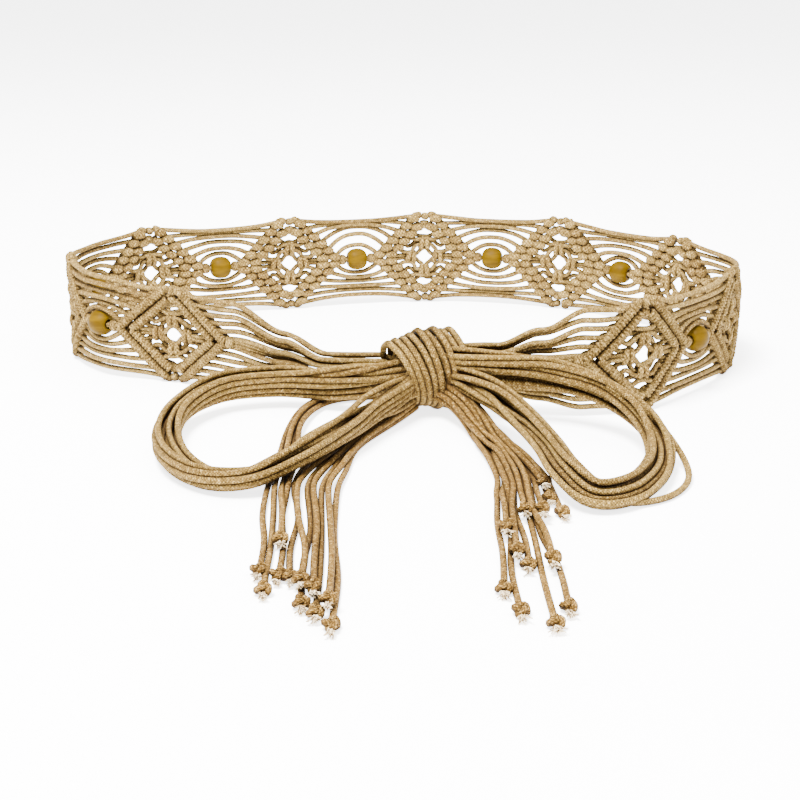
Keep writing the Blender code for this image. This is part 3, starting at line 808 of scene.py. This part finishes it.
chance = np.random.default_rng(21)
for number, line in enumerate(tails):
    side = "left" if number < len(LEFT_TIPS) else "right"
    name = f"tail_cord_{side}_{number + 1}"
    mesh = cord_mesh(name, [line], TAIL_CORD_SIZE * MM, TAIL_CORD, 8, number)
    cord = piece(name, mesh, TAIL_NODES[side])
    ahead = line[-1] - line[-4]
    ahead[2] = 0.0
    ahead /= np.linalg.norm(ahead)
    centre = line[-1] - ahead * 1.0 * MM + np.array([0.0, 0.0, 0.9 * MM])
    ring = overhand(centre, ahead, KNOT_SIZE, chance.uniform(-0.6, 0.6))
    ring[:, 2] = np.maximum(ring[:, 2], 1.25 * MM)
    tied = closed_cord_mesh(name + "_knot", [ring], 2.5 * MM, TAIL_CORD, 7, number)
    yarns = brush(line[-1] + ahead * 1.4 * MM, ahead, chance)
    open_end = cord_mesh(name + "_fray", yarns, FRAY_THICK * MM, FRAY_LOOK, 4, number)
    end = piece(name + "_end", joined_mesh(name + "_end", [tied, open_end]), TAIL_NODES[side])
print("loose cords declared:", len(tails))

# %% [markdown]
# ## Floor and light
# The belt was photographed on a white table in soft daylight from large windows or softboxes: the
# shadows are pale and close to the cords.

# %% Floor and light
floor_mesh = bpy.data.meshes.new("floor")
reach = 7.0
floor_mesh.from_pydata(
    [(-reach, -reach, 0.0), (reach, -reach, 0.0), (reach, reach, 0.0), (-reach, reach, 0.0)],
    [],
    [(0, 1, 2, 3)],
)
floor_look, tree, shader = new_material("white_table")
shader.inputs["Base Color"].default_value = linear("#FDFDFD")
shader.inputs["Emission Color"].default_value = linear("#FFFFFF")
shader.inputs["Emission Strength"].default_value = 3.3
shader.inputs["Roughness"].default_value = 0.9
shader.inputs["Specular IOR Level"].default_value = 0.1
floor_mesh.materials.append(floor_look)
floor = bpy.data.objects.new("floor", floor_mesh)
bpy.context.scene.collection.objects.link(floor)


def area_light(name, place, target, size, power):
    """A square soft light that points at a target."""
    data = bpy.data.lights.new(name, "AREA")
    data.size = size
    data.energy = power
    lamp = bpy.data.objects.new(name, data)
    lamp.location = place
    aim = Vector(target) - Vector(place)
    lamp.rotation_euler = aim.to_track_quat("-Z", "Y").to_euler()
    bpy.context.scene.collection.objects.link(lamp)
    return lamp


area_light("key", (-0.35, -0.45, 1.4), (0.0, 0.0, 0.0), 0.55, 190.0)
area_light("fill", (1.0, -0.3, 1.1), (0.0, 0.0, 0.0), 1.2, 22.0)
area_light("top", (0.0, 0.5, 1.5), (0.0, 0.0, 0.0), 1.4, 26.0)
world = bpy.data.worlds.new("studio")
bpy.context.scene.world = world
world.use_nodes = True
sky = world.node_tree.nodes["Background"]
sky.inputs["Color"].default_value = (1.0, 1.0, 1.0, 1.0)
seen = add(world.node_tree, "ShaderNodeLightPath")
glow = maths(world.node_tree, "MULTIPLY", seen.outputs["Is Camera Ray"], 3.6)
glow = maths(world.node_tree, "ADD", glow, 2.2)
world.node_tree.links.new(glow, sky.inputs["Strength"])

# %% [markdown]
# ## Beads
# The beads are turned wood, stained mustard and varnished. A lathe rounds them, but the flats
# round the hole leave them a little square in outline.

# %% Turn the beads
BEAD_RADIUS = 6.25
BEAD_HOLE_RADIUS = 2.4
BEAD_SQUARE = 2.35


def bead_profile():
    """Rows of distance along the hole and radius, from one rim of the hole to the other."""
    t = np.linspace(-math.pi / 2, math.pi / 2, 21)
    x = np.sign(np.sin(t)) * np.abs(np.sin(t)) ** (2 / BEAD_SQUARE) * BEAD_RADIUS
    radius = np.abs(np.cos(t)) ** (2 / BEAD_SQUARE) * BEAD_RADIUS
    rows = [(a, b) for a, b in zip(x, radius) if b > BEAD_HOLE_RADIUS]
    end = rows[-1][0]
    return [(-end, BEAD_HOLE_RADIUS)] + rows[0:] + [(end, BEAD_HOLE_RADIUS)]


def turned_mesh(name, profile, sides, look):
    """A closed profile turned round X, in millimetres, as a smooth mesh."""
    points, faces = [], []
    count = len(profile)
    for k in range(sides):
        a = math.tau * k / sides
        for x, r in profile:
            points.append((x * MM, r * math.cos(a) * MM, r * math.sin(a) * MM))
    for k in range(sides):
        n = (k + 1) % sides
        for j in range(count):
            m = (j + 1) % count
            faces.append((k * count + j, k * count + m, n * count + m, n * count + j))
    mesh = bpy.data.meshes.new(name)
    mesh.from_pydata(points, [], faces)
    mesh.materials.append(look)
    mesh.shade_smooth()
    return mesh


BEAD_LOOK, tree, shader = new_material("stained_wood")
place = add(tree, "ShaderNodeTexCoord")
stretched = add(
    tree,
    "ShaderNodeMapping",
    {"Vector": place.outputs["Object"], "Scale": (90.0, 90.0, 420.0)},
)
grain = add(
    tree,
    "ShaderNodeTexNoise",
    {"Vector": stretched.outputs[0], "Scale": 1.0, "Detail": 3.0, "Roughness": 0.55},
)
grain_share = maths(tree, "MULTIPLY", maths(tree, "SUBTRACT", grain.outputs["Fac"], 0.35), 2.2, True)
bead_colour = blended(tree, grain_share, linear("#3A2900"), linear("#523D00"))
tree.links.new(bead_colour, shader.inputs["Base Color"])
shader.inputs["Roughness"].default_value = 0.5
shader.inputs["Specular IOR Level"].default_value = 0.03

for number in range(DIAMOND_COUNT - 1):
    mesh = turned_mesh(f"bead_{number + 1}_body", bead_profile(), 40, BEAD_LOOK)
    middle = FIRST + PITCH * (number + 0.5)
    point, ahead, outward = route_at(np.array([middle]))
    low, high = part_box(f"bead_{number + 1}")
    centre = [(low[k] + high[k]) / 2 for k in range(3)]
    turn = Matrix.Rotation(math.atan2(ahead[0, 1], ahead[0, 0]), 4, "Z")
    mesh.transform(Matrix.Translation(centre) @ turn)
    piece(f"bead_{number + 1}_turned", mesh, [f"bead_{number + 1}"])
print("beads:", DIAMOND_COUNT - 1, "of", 2 * BEAD_RADIUS, "mm")

# %% [markdown]
# ## Hitches of a diamond
# Each side of a diamond is two rows of half hitches. On the outer face a hitch shows as two wraps
# round a hidden cord; on the inner face it is one plump bar along the belt. Both shapes are made
# once, with few faces, and a Geometry Nodes tree puts them in all the places of a diamond.

# %% Two shapes of a hitch
WRAP_WIDE = 2.3
WRAP_THICK = 1.9
WRAP_HALF = 1.6
BAR_SIZE = (3.75, 1.9, 2.45)


def wrap_unit(sides, steps, half_tall, half_deep, thick, wide):
    """A closed ring of cord round the X axis, in millimetres, with the cord's UV."""
    t = np.arange(steps) * math.tau / steps
    points, faces, uv = [], [], []
    around = math.tau / sides
    length = math.tau * (half_tall + half_deep) / 2 / steps
    for a in t:
        out = np.array([0.0, math.cos(a), math.sin(a)])
        centre = out * (0.0, half_deep, half_tall)
        for k in range(sides):
            rise = out * math.cos(k * around) * thick / 2
            points.append((centre + rise + (math.sin(k * around) * wide / 2, 0.0, 0.0)) * MM)
    for i in range(steps):
        for k in range(sides):
            n, m = (i + 1) % steps, (k + 1) % sides
            faces.append((i * sides + k, i * sides + m, n * sides + m, n * sides + k))
            low, high = k / sides, (k + 1) / sides
            uv += [(i * length, low), (i * length, high)]
            uv += [((i + 1) * length, high), ((i + 1) * length, low)]
    return unit_mesh("wrap", points, faces, uv)


def bar_unit(sides, rings, half):
    """A plump closed bar along X, in millimetres, with the cord's UV."""
    points = [(-half[0] * MM, 0.0, 0.0)]
    for j in range(1, rings):
        a = math.pi * j / rings
        x = -math.copysign(abs(math.cos(a)) ** 0.8, math.cos(a)) * half[0]
        r = math.sin(a) ** 0.6
        for k in range(sides):
            b = math.tau * (k + 0.5) / sides
            points.append((x * MM, math.cos(b) * r * half[1] * MM, math.sin(b) * r * half[2] * MM))
    points.append((half[0] * MM, 0.0, 0.0))
    faces, uv = [], []
    last = len(points) - 1
    for k in range(sides):
        m = (k + 1) % sides
        low, high = k / sides, (k + 1) / sides
        faces.append((0, 1 + k, 1 + m))
        uv += [(0.0, low), (0.8, low), (0.8, high)]
        for j in range(rings - 2):
            a, b = 1 + j * sides, 1 + (j + 1) * sides
            faces.append((a + k, b + k, b + m, a + m))
            u, v = 0.8 + 1.5 * j, 0.8 + 1.5 * (j + 1)
            uv += [(u, low), (v, low), (v, high), (u, high)]
        a = 1 + (rings - 2) * sides
        faces.append((last, a + m, a + k))
        uv += [(7.5, low), (6.8, high), (6.8, low)]
    return unit_mesh("bar", points, faces, uv)


def unit_mesh(name, points, faces, uv):
    """A small smooth mesh with its UV map."""
    mesh = bpy.data.meshes.new(name)
    mesh.from_pydata([tuple(p) for p in points], [], faces)
    layer = mesh.uv_layers.new(name="UVMap")
    layer.data.foreach_set("uv", np.array(uv, float).ravel())
    mesh.shade_smooth()
    return mesh


WRAP = wrap_unit(6, 10, WRAP_HALF, 1.35, WRAP_THICK, WRAP_WIDE)
BAR = bar_unit(8, 6, BAR_SIZE)
SQUARE_WRAP = wrap_unit(8, 12, 3.0, 1.5, 2.7, 3.3)
print("faces:", len(WRAP.polygons), "a wrap,", len(BAR.polygons), "a bar")

# %% The tree that places them
place_tree, given, out = new_tree(
    "placed_units",
    (("Unit", "NodeSocketObject"), ("Seed", "NodeSocketInt"), ("Material", "NodeSocketMaterial")),
)
unit = add(place_tree, "GeometryNodeObjectInfo", {"Object": given.outputs["Unit"]})
turn = add(
    place_tree, "GeometryNodeInputNamedAttribute", {"Name": "turn"}, data_type="FLOAT_VECTOR"
)
grow = add(
    place_tree, "GeometryNodeInputNamedAttribute", {"Name": "grow"}, data_type="FLOAT_VECTOR"
)
angle = add(place_tree, "FunctionNodeEulerToRotation", {0: turn.outputs[0]})
units = add(
    place_tree,
    "GeometryNodeInstanceOnPoints",
    {
        "Points": given.outputs["Geometry"],
        "Instance": unit.outputs["Geometry"],
        "Rotation": angle.outputs[0],
        "Scale": grow.outputs[0],
    },
)
number_of = add(place_tree, "GeometryNodeInputIndex")
shade = add(
    place_tree,
    "FunctionNodeRandomValue",
    {"ID": number_of.outputs[0], "Seed": given.outputs["Seed"]},
)
shaded = add(
    place_tree,
    "GeometryNodeStoreNamedAttribute",
    {"Geometry": units.outputs[0], "Name": "shade"},
    data_type="FLOAT",
    domain="INSTANCE",
)
place_tree.links.new(shade.outputs["Value"], shaded.inputs["Value"])
finished(place_tree, shaded.outputs[0], given, out)


def placed(name, unit, rows, look, seed):
    """One mesh of a unit in many places: rows of place in metres, axes and scale."""
    mesh = bpy.data.meshes.new(name)
    mesh.from_pydata([tuple(row[0]) for row in rows], [], [])
    turns = []
    for _, axes, _ in rows:
        turns += list(Matrix(np.asarray(axes).T.tolist()).to_euler())
    for label, values in (("turn", turns), ("grow", [v for row in rows for v in row[2]])):
        held = mesh.attributes.new(label, "FLOAT_VECTOR", "POINT")
        held.data.foreach_set("vector", np.array(values, float))
    holder = bpy.data.objects.new(name, mesh)
    source = bpy.data.objects.new(name + "_unit", unit)
    for made in (holder, source):
        bpy.context.scene.collection.objects.link(made)
    made = run_tree(holder, place_tree, {"Unit": source, "Seed": seed, "Material": look})
    bpy.data.objects.remove(source)
    return made


print("placing tree nodes:", len(place_tree.nodes))

# %% [markdown]
# The rows run from the side points of the diamond to its top and bottom. Wraps stand across their
# row; bars lie along the belt. Small seeded changes of turn and size keep a hand-knotted look.

# %% Places of the hitches
ROW_INSET = 2.3
ROW_SPACING = 5.0
SLOPE = math.atan2(HALF_HEIGHT, (DIAMOND_LENGTH - TIP_FLAT) / 2)
ROW_WRAPS = (20, 16)
ROW_BARS = (6, 5)
WRAP_LIFT = 0.75
BAR_LIFT = -1.15


def row_ends(row):
    """A row's ends in a quarter of the diamond: the side point and the top."""
    inset = ROW_INSET + ROW_SPACING * row
    corner = DIAMOND_LENGTH / 2 - inset / math.sin(SLOPE)
    top = HALF_HEIGHT - inset
    return corner, corner - top / math.tan(SLOPE), top


def flat_axes(ahead_x, ahead_z):
    """Axes of a unit in the flat panel: its X along a direction, its Y outward."""
    x = np.array([ahead_x, 0.0, ahead_z])
    x /= np.linalg.norm(x)
    y = np.array([0.0, 1.0, 0.0])
    return np.array([x, y, np.cross(x, y)])


def world_axes(axes, ahead, outward):
    """Flat axes turned to the belt's own direction at a place."""
    turn = np.array([[ahead[0], ahead[1], 0.0], [outward[0], outward[1], 0.0], [0.0, 0.0, 1.0]])
    return np.asarray(axes) @ turn


def placed_rows(flat, middle):
    """Flat rows of place, axes and scale as rows in the frame."""
    spots = np.array([row[0] for row in flat])
    places = laid(spots, middle)
    _, ahead, outward = route_at(middle + spots[:, 0])
    return [
        (places[k], world_axes(row[1], ahead[k], outward[k]), row[2])
        for k, row in enumerate(flat)
    ]


def diamond_units(seed):
    """Flat places of a diamond's wraps and bars."""
    chance = np.random.default_rng(seed)
    wraps, bars = [], []
    for side_x in (-1, 1):
        for side_z in (-1, 1):
            for row in (0, 1):
                corner, top_x, top = row_ends(row)
                count = ROW_WRAPS[row]
                for k in range(count):
                    share = (k + 0.5) / count
                    x = side_x * (corner + (top_x - corner) * share)
                    z = side_z * top * share
                    lean = chance.normal(0.0, 0.03)
                    axes = flat_axes(-side_x * math.cos(SLOPE), side_z * math.sin(SLOPE) + lean)
                    swell = 0.08 * math.sin(math.pi * (k % 4 + 0.5) / 4)
                    size = 0.95 + chance.normal(0.0, 0.03) + swell
                    lift = WRAP_LIFT + chance.normal(0.0, 0.08)
                    wraps.append(((x, lift, z), axes, (1.02, size, size)))
                count = ROW_BARS[row]
                for k in range(count):
                    share = (k + 0.5) / count
                    x = side_x * (corner + (top_x - corner) * share) + chance.normal(0.0, 0.12)
                    z = side_z * top * share + chance.normal(0.0, 0.1)
                    lean = -side_x * side_z * 0.1 + chance.normal(0.0, 0.07)
                    size = 1.0 + chance.normal(0.0, 0.04)
                    lift = BAR_LIFT + chance.normal(0.0, 0.12)
                    bars.append(((x, lift, z), flat_axes(1.0, lean), (size, 1.0, size)))
    for side_z in (-1, 1):
        for x, z, wide in ((-4.0, 24.9, 0.62), (0.2, 24.3, 0.6), (4.0, 25.0, 0.6), (0.0, 19.8, 0.8)):
            spot = (x + chance.normal(0.0, 0.4), chance.normal(0.0, 0.3), side_z * z)
            bars.append((spot, flat_axes(1.0, chance.normal(0.0, 0.25)), (wide, 1.1, 0.9)))
    for side_x in (-1, 1):
        bars.append(((side_x * 31.6, 0.2, 0.0), flat_axes(1.0, 0.0), (0.72, 1.4, 1.25)))
    return wraps, bars


test_wraps, test_bars = diamond_units(1)
print("a diamond has", len(test_wraps), "wraps and", len(test_bars), "bars")

# %% [markdown]
# ## Net of a diamond
# Inside the rows, twelve cords cross the diamond through four square knots, at its left, top,
# bottom and right. A square knot shows two upright wraps side by side.

# %% Lines of the net
NET_CORD = 2.5
NET_EDGE_INSET = ROW_INSET + ROW_SPACING * 1.5
NET_KNOTS = ((-7.9, 0.0), (7.9, 0.0), (0.0, 8.1), (0.0, -8.1))
NET_LINES = (
    (1.2, ((-12.6, 0.9), (-7.9, 0.9), (-4.9, 1.4), (-3.3, 2.9), (-1.7, 4.6), (0.0, 5.2))),
    (4.6, ((-12.0, 3.2), (-8.0, 2.9), (-6.7, 4.6), (-5.3, 6.6), (-3.4, 7.7), (0.0, 7.8))),
    (8.2, ((-9.8, 6.3), (-7.8, 6.9), (-5.4, 8.9), (-2.6, 9.8), (0.0, 9.8))),
    (11.4, ((-6.4, 10.3), (-4.0, 10.7), (-2.0, 10.9), (0.0, 10.9))),
    (14.2, ((-4.4, 12.9), (-2.4, 12.3), (0.0, 12.2))),
    (16.6, ((-2.0, 17.9), (0.0, 18.0))),
)


def net_lines(seed):
    """Flat lines of the twelve cords inside a diamond."""
    chance = np.random.default_rng(seed)
    corner = DIAMOND_LENGTH / 2 - NET_EDGE_INSET / math.sin(SLOPE)
    lines = []
    for side_z in (-1, 1):
        for number, (start_z, middle) in enumerate(NET_LINES):
            start_x = -(corner - start_z / math.tan(SLOPE)) - 1.6
            level = 0.7 * (-1) ** number
            left = [(start_x, 0.0, start_z)] + [(x, level, z) for x, z in middle]
            right = [(-x, y, z) for x, y, z in left[-2::-1]]
            rows = np.array(left + right)
            jitter = chance.normal(0.0, 0.22, rows.shape)
            jitter[0] = jitter[-1] = 0.0
            rows = rows + jitter
            rows[:, 2] *= side_z
            lines.append(smooth(rows, 1.4))
    return lines


def net_wraps(seed):
    """Flat places of the wraps of the four square knots."""
    chance = np.random.default_rng(seed)
    rows = []
    for x, z in NET_KNOTS:
        lean = chance.normal(0.0, 0.12)
        for side in (-1, 1):
            spot = (x + side * 1.6, chance.normal(0.0, 0.15), z)
            axes = flat_axes(1.0, lean + side * 0.14)
            rows.append((spot, axes, (1.0, 1.0, 1.0 + chance.normal(0.0, 0.05))))
    return rows


for number in range(DIAMOND_COUNT):
    middle = FIRST + PITCH * number
    node = f"diamond_{number + 1}"
    wraps, bars = diamond_units(100 + number)
    parts = []
    for label, unit, flat in (("wraps", WRAP, wraps), ("bars", BAR, bars)):
        rows = placed_rows(flat, middle)
        parts.append(placed(f"{node}_{label}", unit, rows, BAND_CORD, number))
    hitches = joined_mesh(f"{node}_hitches", parts)
    piece(f"{node}_hitches", hitches, [node])
    lines = [laid(line, middle) for line in net_lines(200 + number)]
    cords = cord_mesh(f"{node}_net_cords", lines, NET_CORD * MM, BAND_CORD, 7, number)
    rows = placed_rows(net_wraps(300 + number), middle)
    knots = placed(f"{node}_square_knots", SQUARE_WRAP, rows, BAND_CORD, number)
    net = joined_mesh(f"{node}_net", [cords, knots])
    piece(f"{node}_net", net, [node])
print("triangles in a diamond:", triangles(hitches) + triangles(net))

# %% [markdown]
# ## Bare cords between the diamonds
# Fourteen cords run bare from one diamond to the next: six above the bead, six below it and two
# through it. They sag together at the middle and leave long slits near the hitches.

# %% Cords of the gaps
GAP_CORD = 2.65
LEVEL_GAP = ((8.0, 10.8, 13.6, 16.6, 19.6, 22.6), (8.0, 10.8, 13.4, 16.0, 18.6, 21.3))
GAP_HEIGHTS = (
    ((8.0, 10.7, 13.5, 16.6, 20.4, 23.6), (8.0, 10.7, 13.3, 16.2, 19.4, 22.8)),
    LEVEL_GAP,
    ((8.2, 11.4, 15.0, 18.2, 20.2, 21.8), (8.0, 10.6, 13.2, 16.8, 20.0, 22.4)),
    ((8.4, 15.2, 19.2, 20.8, 22.0, 22.6), (8.0, 10.6, 13.2, 15.8, 18.4, 21.2)),
    ((8.0, 12.6, 16.6, 19.2, 20.8, 22.2), (8.0, 11.4, 15.2, 18.2, 20.6, 22.6)),
    ((8.0, 10.8, 14.4, 17.8, 20.0, 21.8), (8.0, 11.6, 15.0, 18.0, 20.4, 22.6)),
    LEVEL_GAP,
    ((8.0, 10.6, 13.3, 16.0, 19.2, 22.6), (8.0, 10.6, 13.3, 16.2, 19.2, 22.4)),
)


def side_places(row=0):
    """Where cords leave a diamond's side: distance from its middle and height."""
    corner, top_x, top = row_ends(row)
    share = (np.arange(6) + 0.5) / 5.6
    return corner + (top_x - corner) * share, top * share


def gap_lines(heights, seed):
    """Flat lines of the bare cords of one gap."""
    chance = np.random.default_rng(seed)
    away, level = side_places()
    lines = []
    for side_z, row in zip((1, -1), heights):
        for k in range(6):
            start = -PITCH / 2 + away[k] + 0.8
            middle = row[k]
            depth = 0.55 * (-1) ** k
            skew = chance.uniform(-0.06, 0.06)
            lift = chance.uniform(-0.3, 0.3)
            near = level[k] + (middle - level[k]) * 0.6
            rows = [
                (start, 0.0, level[k]),
                (start * 0.66, depth * 0.6, near + lift),
                (start * 0.32, depth, level[k] + (middle - level[k]) * 0.93),
                (skew * start, depth, middle),
                (-start * 0.32, depth, level[k] + (middle - level[k]) * 0.93),
                (-start * 0.66, depth * 0.6, near - lift),
                (-start, 0.0, level[k]),
            ]
            rows = np.array(rows)
            rows[:, 2] *= side_z
            lines.append(smooth(rows, 1.8))
    for depth in (-1.05, 1.05):
        start = -PITCH / 2 + DIAMOND_LENGTH / 2 - 3.0
        rows = [(start, depth * 0.5, 0.0), (0.0, depth, 0.0), (-start, depth * 0.5, 0.0)]
        lines.append(smooth(rows, 1.8))
    return lines


total = 0
for number, heights in enumerate(GAP_HEIGHTS):
    middle = FIRST + PITCH * (number + 0.5)
    node = f"gap_cords_{number + 1}"
    lines = [laid(line, middle) for line in gap_lines(heights, 400 + number)]
    mesh = cord_mesh(f"{node}_strands", lines, GAP_CORD * MM, BAND_CORD, 8, 40 + number)
    piece(f"{node}_strands", mesh, [node])
    total += triangles(mesh)
print("triangles in the gaps:", total)

# %% [markdown]
# ## Cords from the band to the bow
# At both ends of the band the cords fan in from the last hitches and lie on each other, three or
# four deep, when they reach the bow.

# %% Cords of the ends
END_CORD = 2.7


def end_lines(direction, seed):
    """Lines of the cords from an outer diamond into the bow, in metres."""
    chance = np.random.default_rng(seed)
    away, level = side_places()
    start_x = np.concatenate([away, away, [DIAMOND_LENGTH / 2 - 3.0] * 2])
    start_z = np.concatenate([level, -level, [1.2, -1.2]])
    order = np.argsort(start_z)
    start_x, start_z = start_x[order], start_z[order]
    count = len(start_x)
    middle = FIRST if direction < 0 else LAST
    end = middle if direction < 0 else STATION[-1] - middle
    lines = []
    for k in range(count):
        stations = np.arange(start_x[k] + 0.8, end, 2.0)
        length = middle + direction * stations
        place = (length - FIRST) / PITCH
        low, high, thick = (edge(place, n) for n in (1, 2, 3))
        tall = BAND_HEIGHT * (high - low)
        rank = (k + 0.5) / count * 2 - 1
        gather = np.clip((stations - start_x[k]) / 30.0, 0.0, 1.0)
        gather = gather * gather * (3 - 2 * gather)
        share = start_z[k] / HALF_HEIGHT * (1 - gather) + rank * gather
        height = BAND_HEIGHT * (low + high) / 2 + share * (tall - END_CORD) / 2
        layer = (k % 3 - 1) * (thick - 1.0) * END_CORD / 2
        wander = np.interp(stations, np.arange(0, 150, 22), chance.normal(0.0, 0.45, 7))
        point, _, outward = route_at(length)
        spots = point + outward * (layer * gather)[:, None]
        rows = np.column_stack([spots, height + wander * gather])
        core = rows[-1] * (0.35, 0.35, 0.0) + (0.0, 0.0, 19.6 + 0.4 * (rows[-1, 2] - 19.6))
        lines.append(to_world(np.vstack([rows[:-1], smooth([rows[-1], core], 2.0)])))
    return lines


for side, direction in (("left", -1), ("right", 1)):
    lines = end_lines(direction, 500 + direction)
    mesh = cord_mesh(f"end_cords_{side}_strands", lines, END_CORD * MM, BAND_CORD, 8, 60)
    piece(f"end_cords_{side}_strands", mesh, [f"end_cords_{side}"])
print("cords at each end:", len(lines))

# %% [markdown]
# ## Loops of the bow
# Twelve cords run side by side round each loop, and on the right one more has slipped out of
# them. The oval sections are those of the CAD solids.

# %% Lines of the loops
BOW_CORD_SIZE = 2.75
LEFT_LOOP = (
    (-6.0, -8.5, 22.0, 7.0, 15.0),
    (-24.0, -5.5, 18.5, 8.5, 19.0),
    (-44.0, 0.5, 15.5, 8.5, 20.0),
    (-68.0, 4.5, 14.5, 8.5, 18.0),
    (-92.0, -2.5, 13.0, 9.0, 15.0),
    (-107.0, -23.5, 10.0, 10.0, 13.0),
    (-110.0, -50.5, 7.5, 12.0, 11.0),
    (-103.0, -78.5, 6.5, 13.0, 10.0),
    (-88.0, -98.5, 6.0, 13.0, 10.0),
    (-70.0, -103.5, 8.0, 13.0, 10.0),
    (-53.0, -90.5, 11.6, 13.0, 10.0),
    (-36.0, -63.5, 12.6, 12.0, 12.0),
    (-23.0, -40.5, 14.0, 9.0, 15.0),
    (-12.0, -24.5, 15.0, 7.0, 16.0),
    (-2.0, -8.5, 16.0, 6.0, 15.0),
)
RIGHT_LOOP = (
    (6.0, -2.5, 25.0, 6.0, 15.0),
    (20.0, -12.5, 27.0, 7.0, 17.0),
    (36.0, -18.0, 28.0, 8.0, 18.0),
    (57.0, -20.5, 27.0, 8.0, 19.0),
    (78.0, -30.5, 23.0, 9.0, 18.0),
    (93.0, -47.5, 16.0, 11.0, 15.0),
    (98.0, -68.5, 10.0, 12.0, 12.0),
    (94.0, -91.5, 7.0, 13.0, 11.0),
    (81.0, -112.5, 6.0, 13.0, 11.0),
    (65.0, -120.5, 7.0, 13.0, 11.0),
    (55.0, -106.5, 11.2, 13.0, 10.0),
    (50.5, -82.5, 12.6, 12.0, 10.0),
    (42.5, -55.5, 15.0, 11.0, 12.0),
    (31.0, -31.5, 18.2, 9.0, 14.0),
    (15.0, -11.0, 18.6, 7.0, 14.0),
)
# One cord of the right loop has slipped out of the bundle
STRAY = (
    (80.0, -36.0, 24.0),
    (95.0, -50.0, 17.0),
    (105.0, -68.0, 8.0),
    (107.0, -90.0, 2.4),
    (97.0, -109.0, 1.6),
    (80.0, -119.0, 2.4),
    (66.0, -119.0, 6.0),
)
LOOP_COUNT = 12
for side, rows, twist in (("left", LEFT_LOOP, 0.35), ("right", RIGHT_LOOP, -0.3)):
    rows = [(x, y, z, wide * 1.08, tall * 1.08) for x, y, z, wide, tall in rows]
    lines = bundle(rows, LOOP_COUNT, BOW_CORD_SIZE, twist, 7, 0.45)
    if side == "right":
        lines.append(smooth(STRAY, 3.0))
    lines = [to_world(line) for line in lines]
    mesh = cord_mesh(f"bow_loop_{side}_strands", lines, BOW_CORD_SIZE * MM, BOW_CORD, 10, 70)
    piece(f"bow_loop_{side}_strands", mesh, [f"bow_loop_{side}"])
print("triangles in a loop:", triangles(mesh))

# %% [markdown]
# ## Knot of the bow
# The wraps of the knot come close together on top and sweep to the right as they go down. Each
# wrap is a ring whose top and bottom sit at their own places along the knot.

# %% Wraps of the knot
KNOT_DIAMETER = 38.0
KNOT_LENGTH = 35.0
KNOT_TURN = 20.0
CLEARANCE = 0.3
KNOT_CORD = 3.1
KNOT_WRAPS = (
    (-15.5, -5.5, 0.82),
    (-12.2, -2.0, 0.86),
    (-8.6, 0.8, 0.90),
    (-5.2, 3.4, 0.98),
    (-1.2, 5.6, 1.06),
    (2.4, 8.4, 1.01),
    (6.4, 11.0, 1.07),
    (10.2, 13.4, 1.02),
    (14.2, 15.6, 1.04),
)


def knot_lines(seed):
    """Closed lines of the knot's wraps, in route coordinates."""
    chance = np.random.default_rng(seed)
    t = np.linspace(0.0, math.tau, 49)[:-1]
    turn = math.radians(KNOT_TURN)
    along = np.array([math.cos(turn), math.sin(turn), 0.0])
    across = np.array([-math.sin(turn), math.cos(turn), 0.0])
    up = np.array([0.0, 0.0, 1.0])
    lift = KNOT_DIAMETER / 2 + 2 * CLEARANCE
    centre = np.array([0.0, 0.0, lift])
    reach = KNOT_DIAMETER / 2 - KNOT_CORD / 2 - 0.2
    lines = []
    for top, bottom, size in KNOT_WRAPS:
        x = (top + bottom) / 2 + (top - bottom) / 2 * np.cos(t) + chance.uniform(0.6, 2.8) * np.sin(t)
        radius = reach * size + chance.normal(0.0, 0.15)
        side = -np.sin(t) * radius
        tall = np.cos(t) * (radius + reach) / 2
        tall = np.where(tall > 0, np.cos(t) * radius, tall)
        lines.append(centre + x[:, None] * along + side[:, None] * across + tall[:, None] * up)
    return lines


def core_rows():
    """The bundle that the wraps hold, from one end of the knot to the other."""
    turn = math.radians(KNOT_TURN)
    lift = KNOT_DIAMETER / 2 + 2 * CLEARANCE
    rows = []
    for far, wide in ((-11.5, 23.0), (-6.0, 28.0), (0.0, 30.0), (7.0, 30.0), (13.0, 28.0)):
        rows.append((far * math.cos(turn), far * math.sin(turn), lift, wide, wide))
    return rows


lines = [to_world(line) for line in parted(knot_lines(5), KNOT_CORD * 0.96, 14)]
wraps = closed_cord_mesh("bow_knot_wraps", lines, KNOT_CORD * MM, BOW_CORD, 10, 80)
held = [to_world(line) for line in bundle(core_rows(), 44, KNOT_CORD, 0.0, 12)]
core = cord_mesh("bow_knot_core", held, KNOT_CORD * MM, BOW_CORD, 8, 81)
piece("bow_knot_wraps", joined_mesh("bow_knot_wraps", [wraps, core]), ["bow_knot"])
print("wraps of the knot:", len(lines))
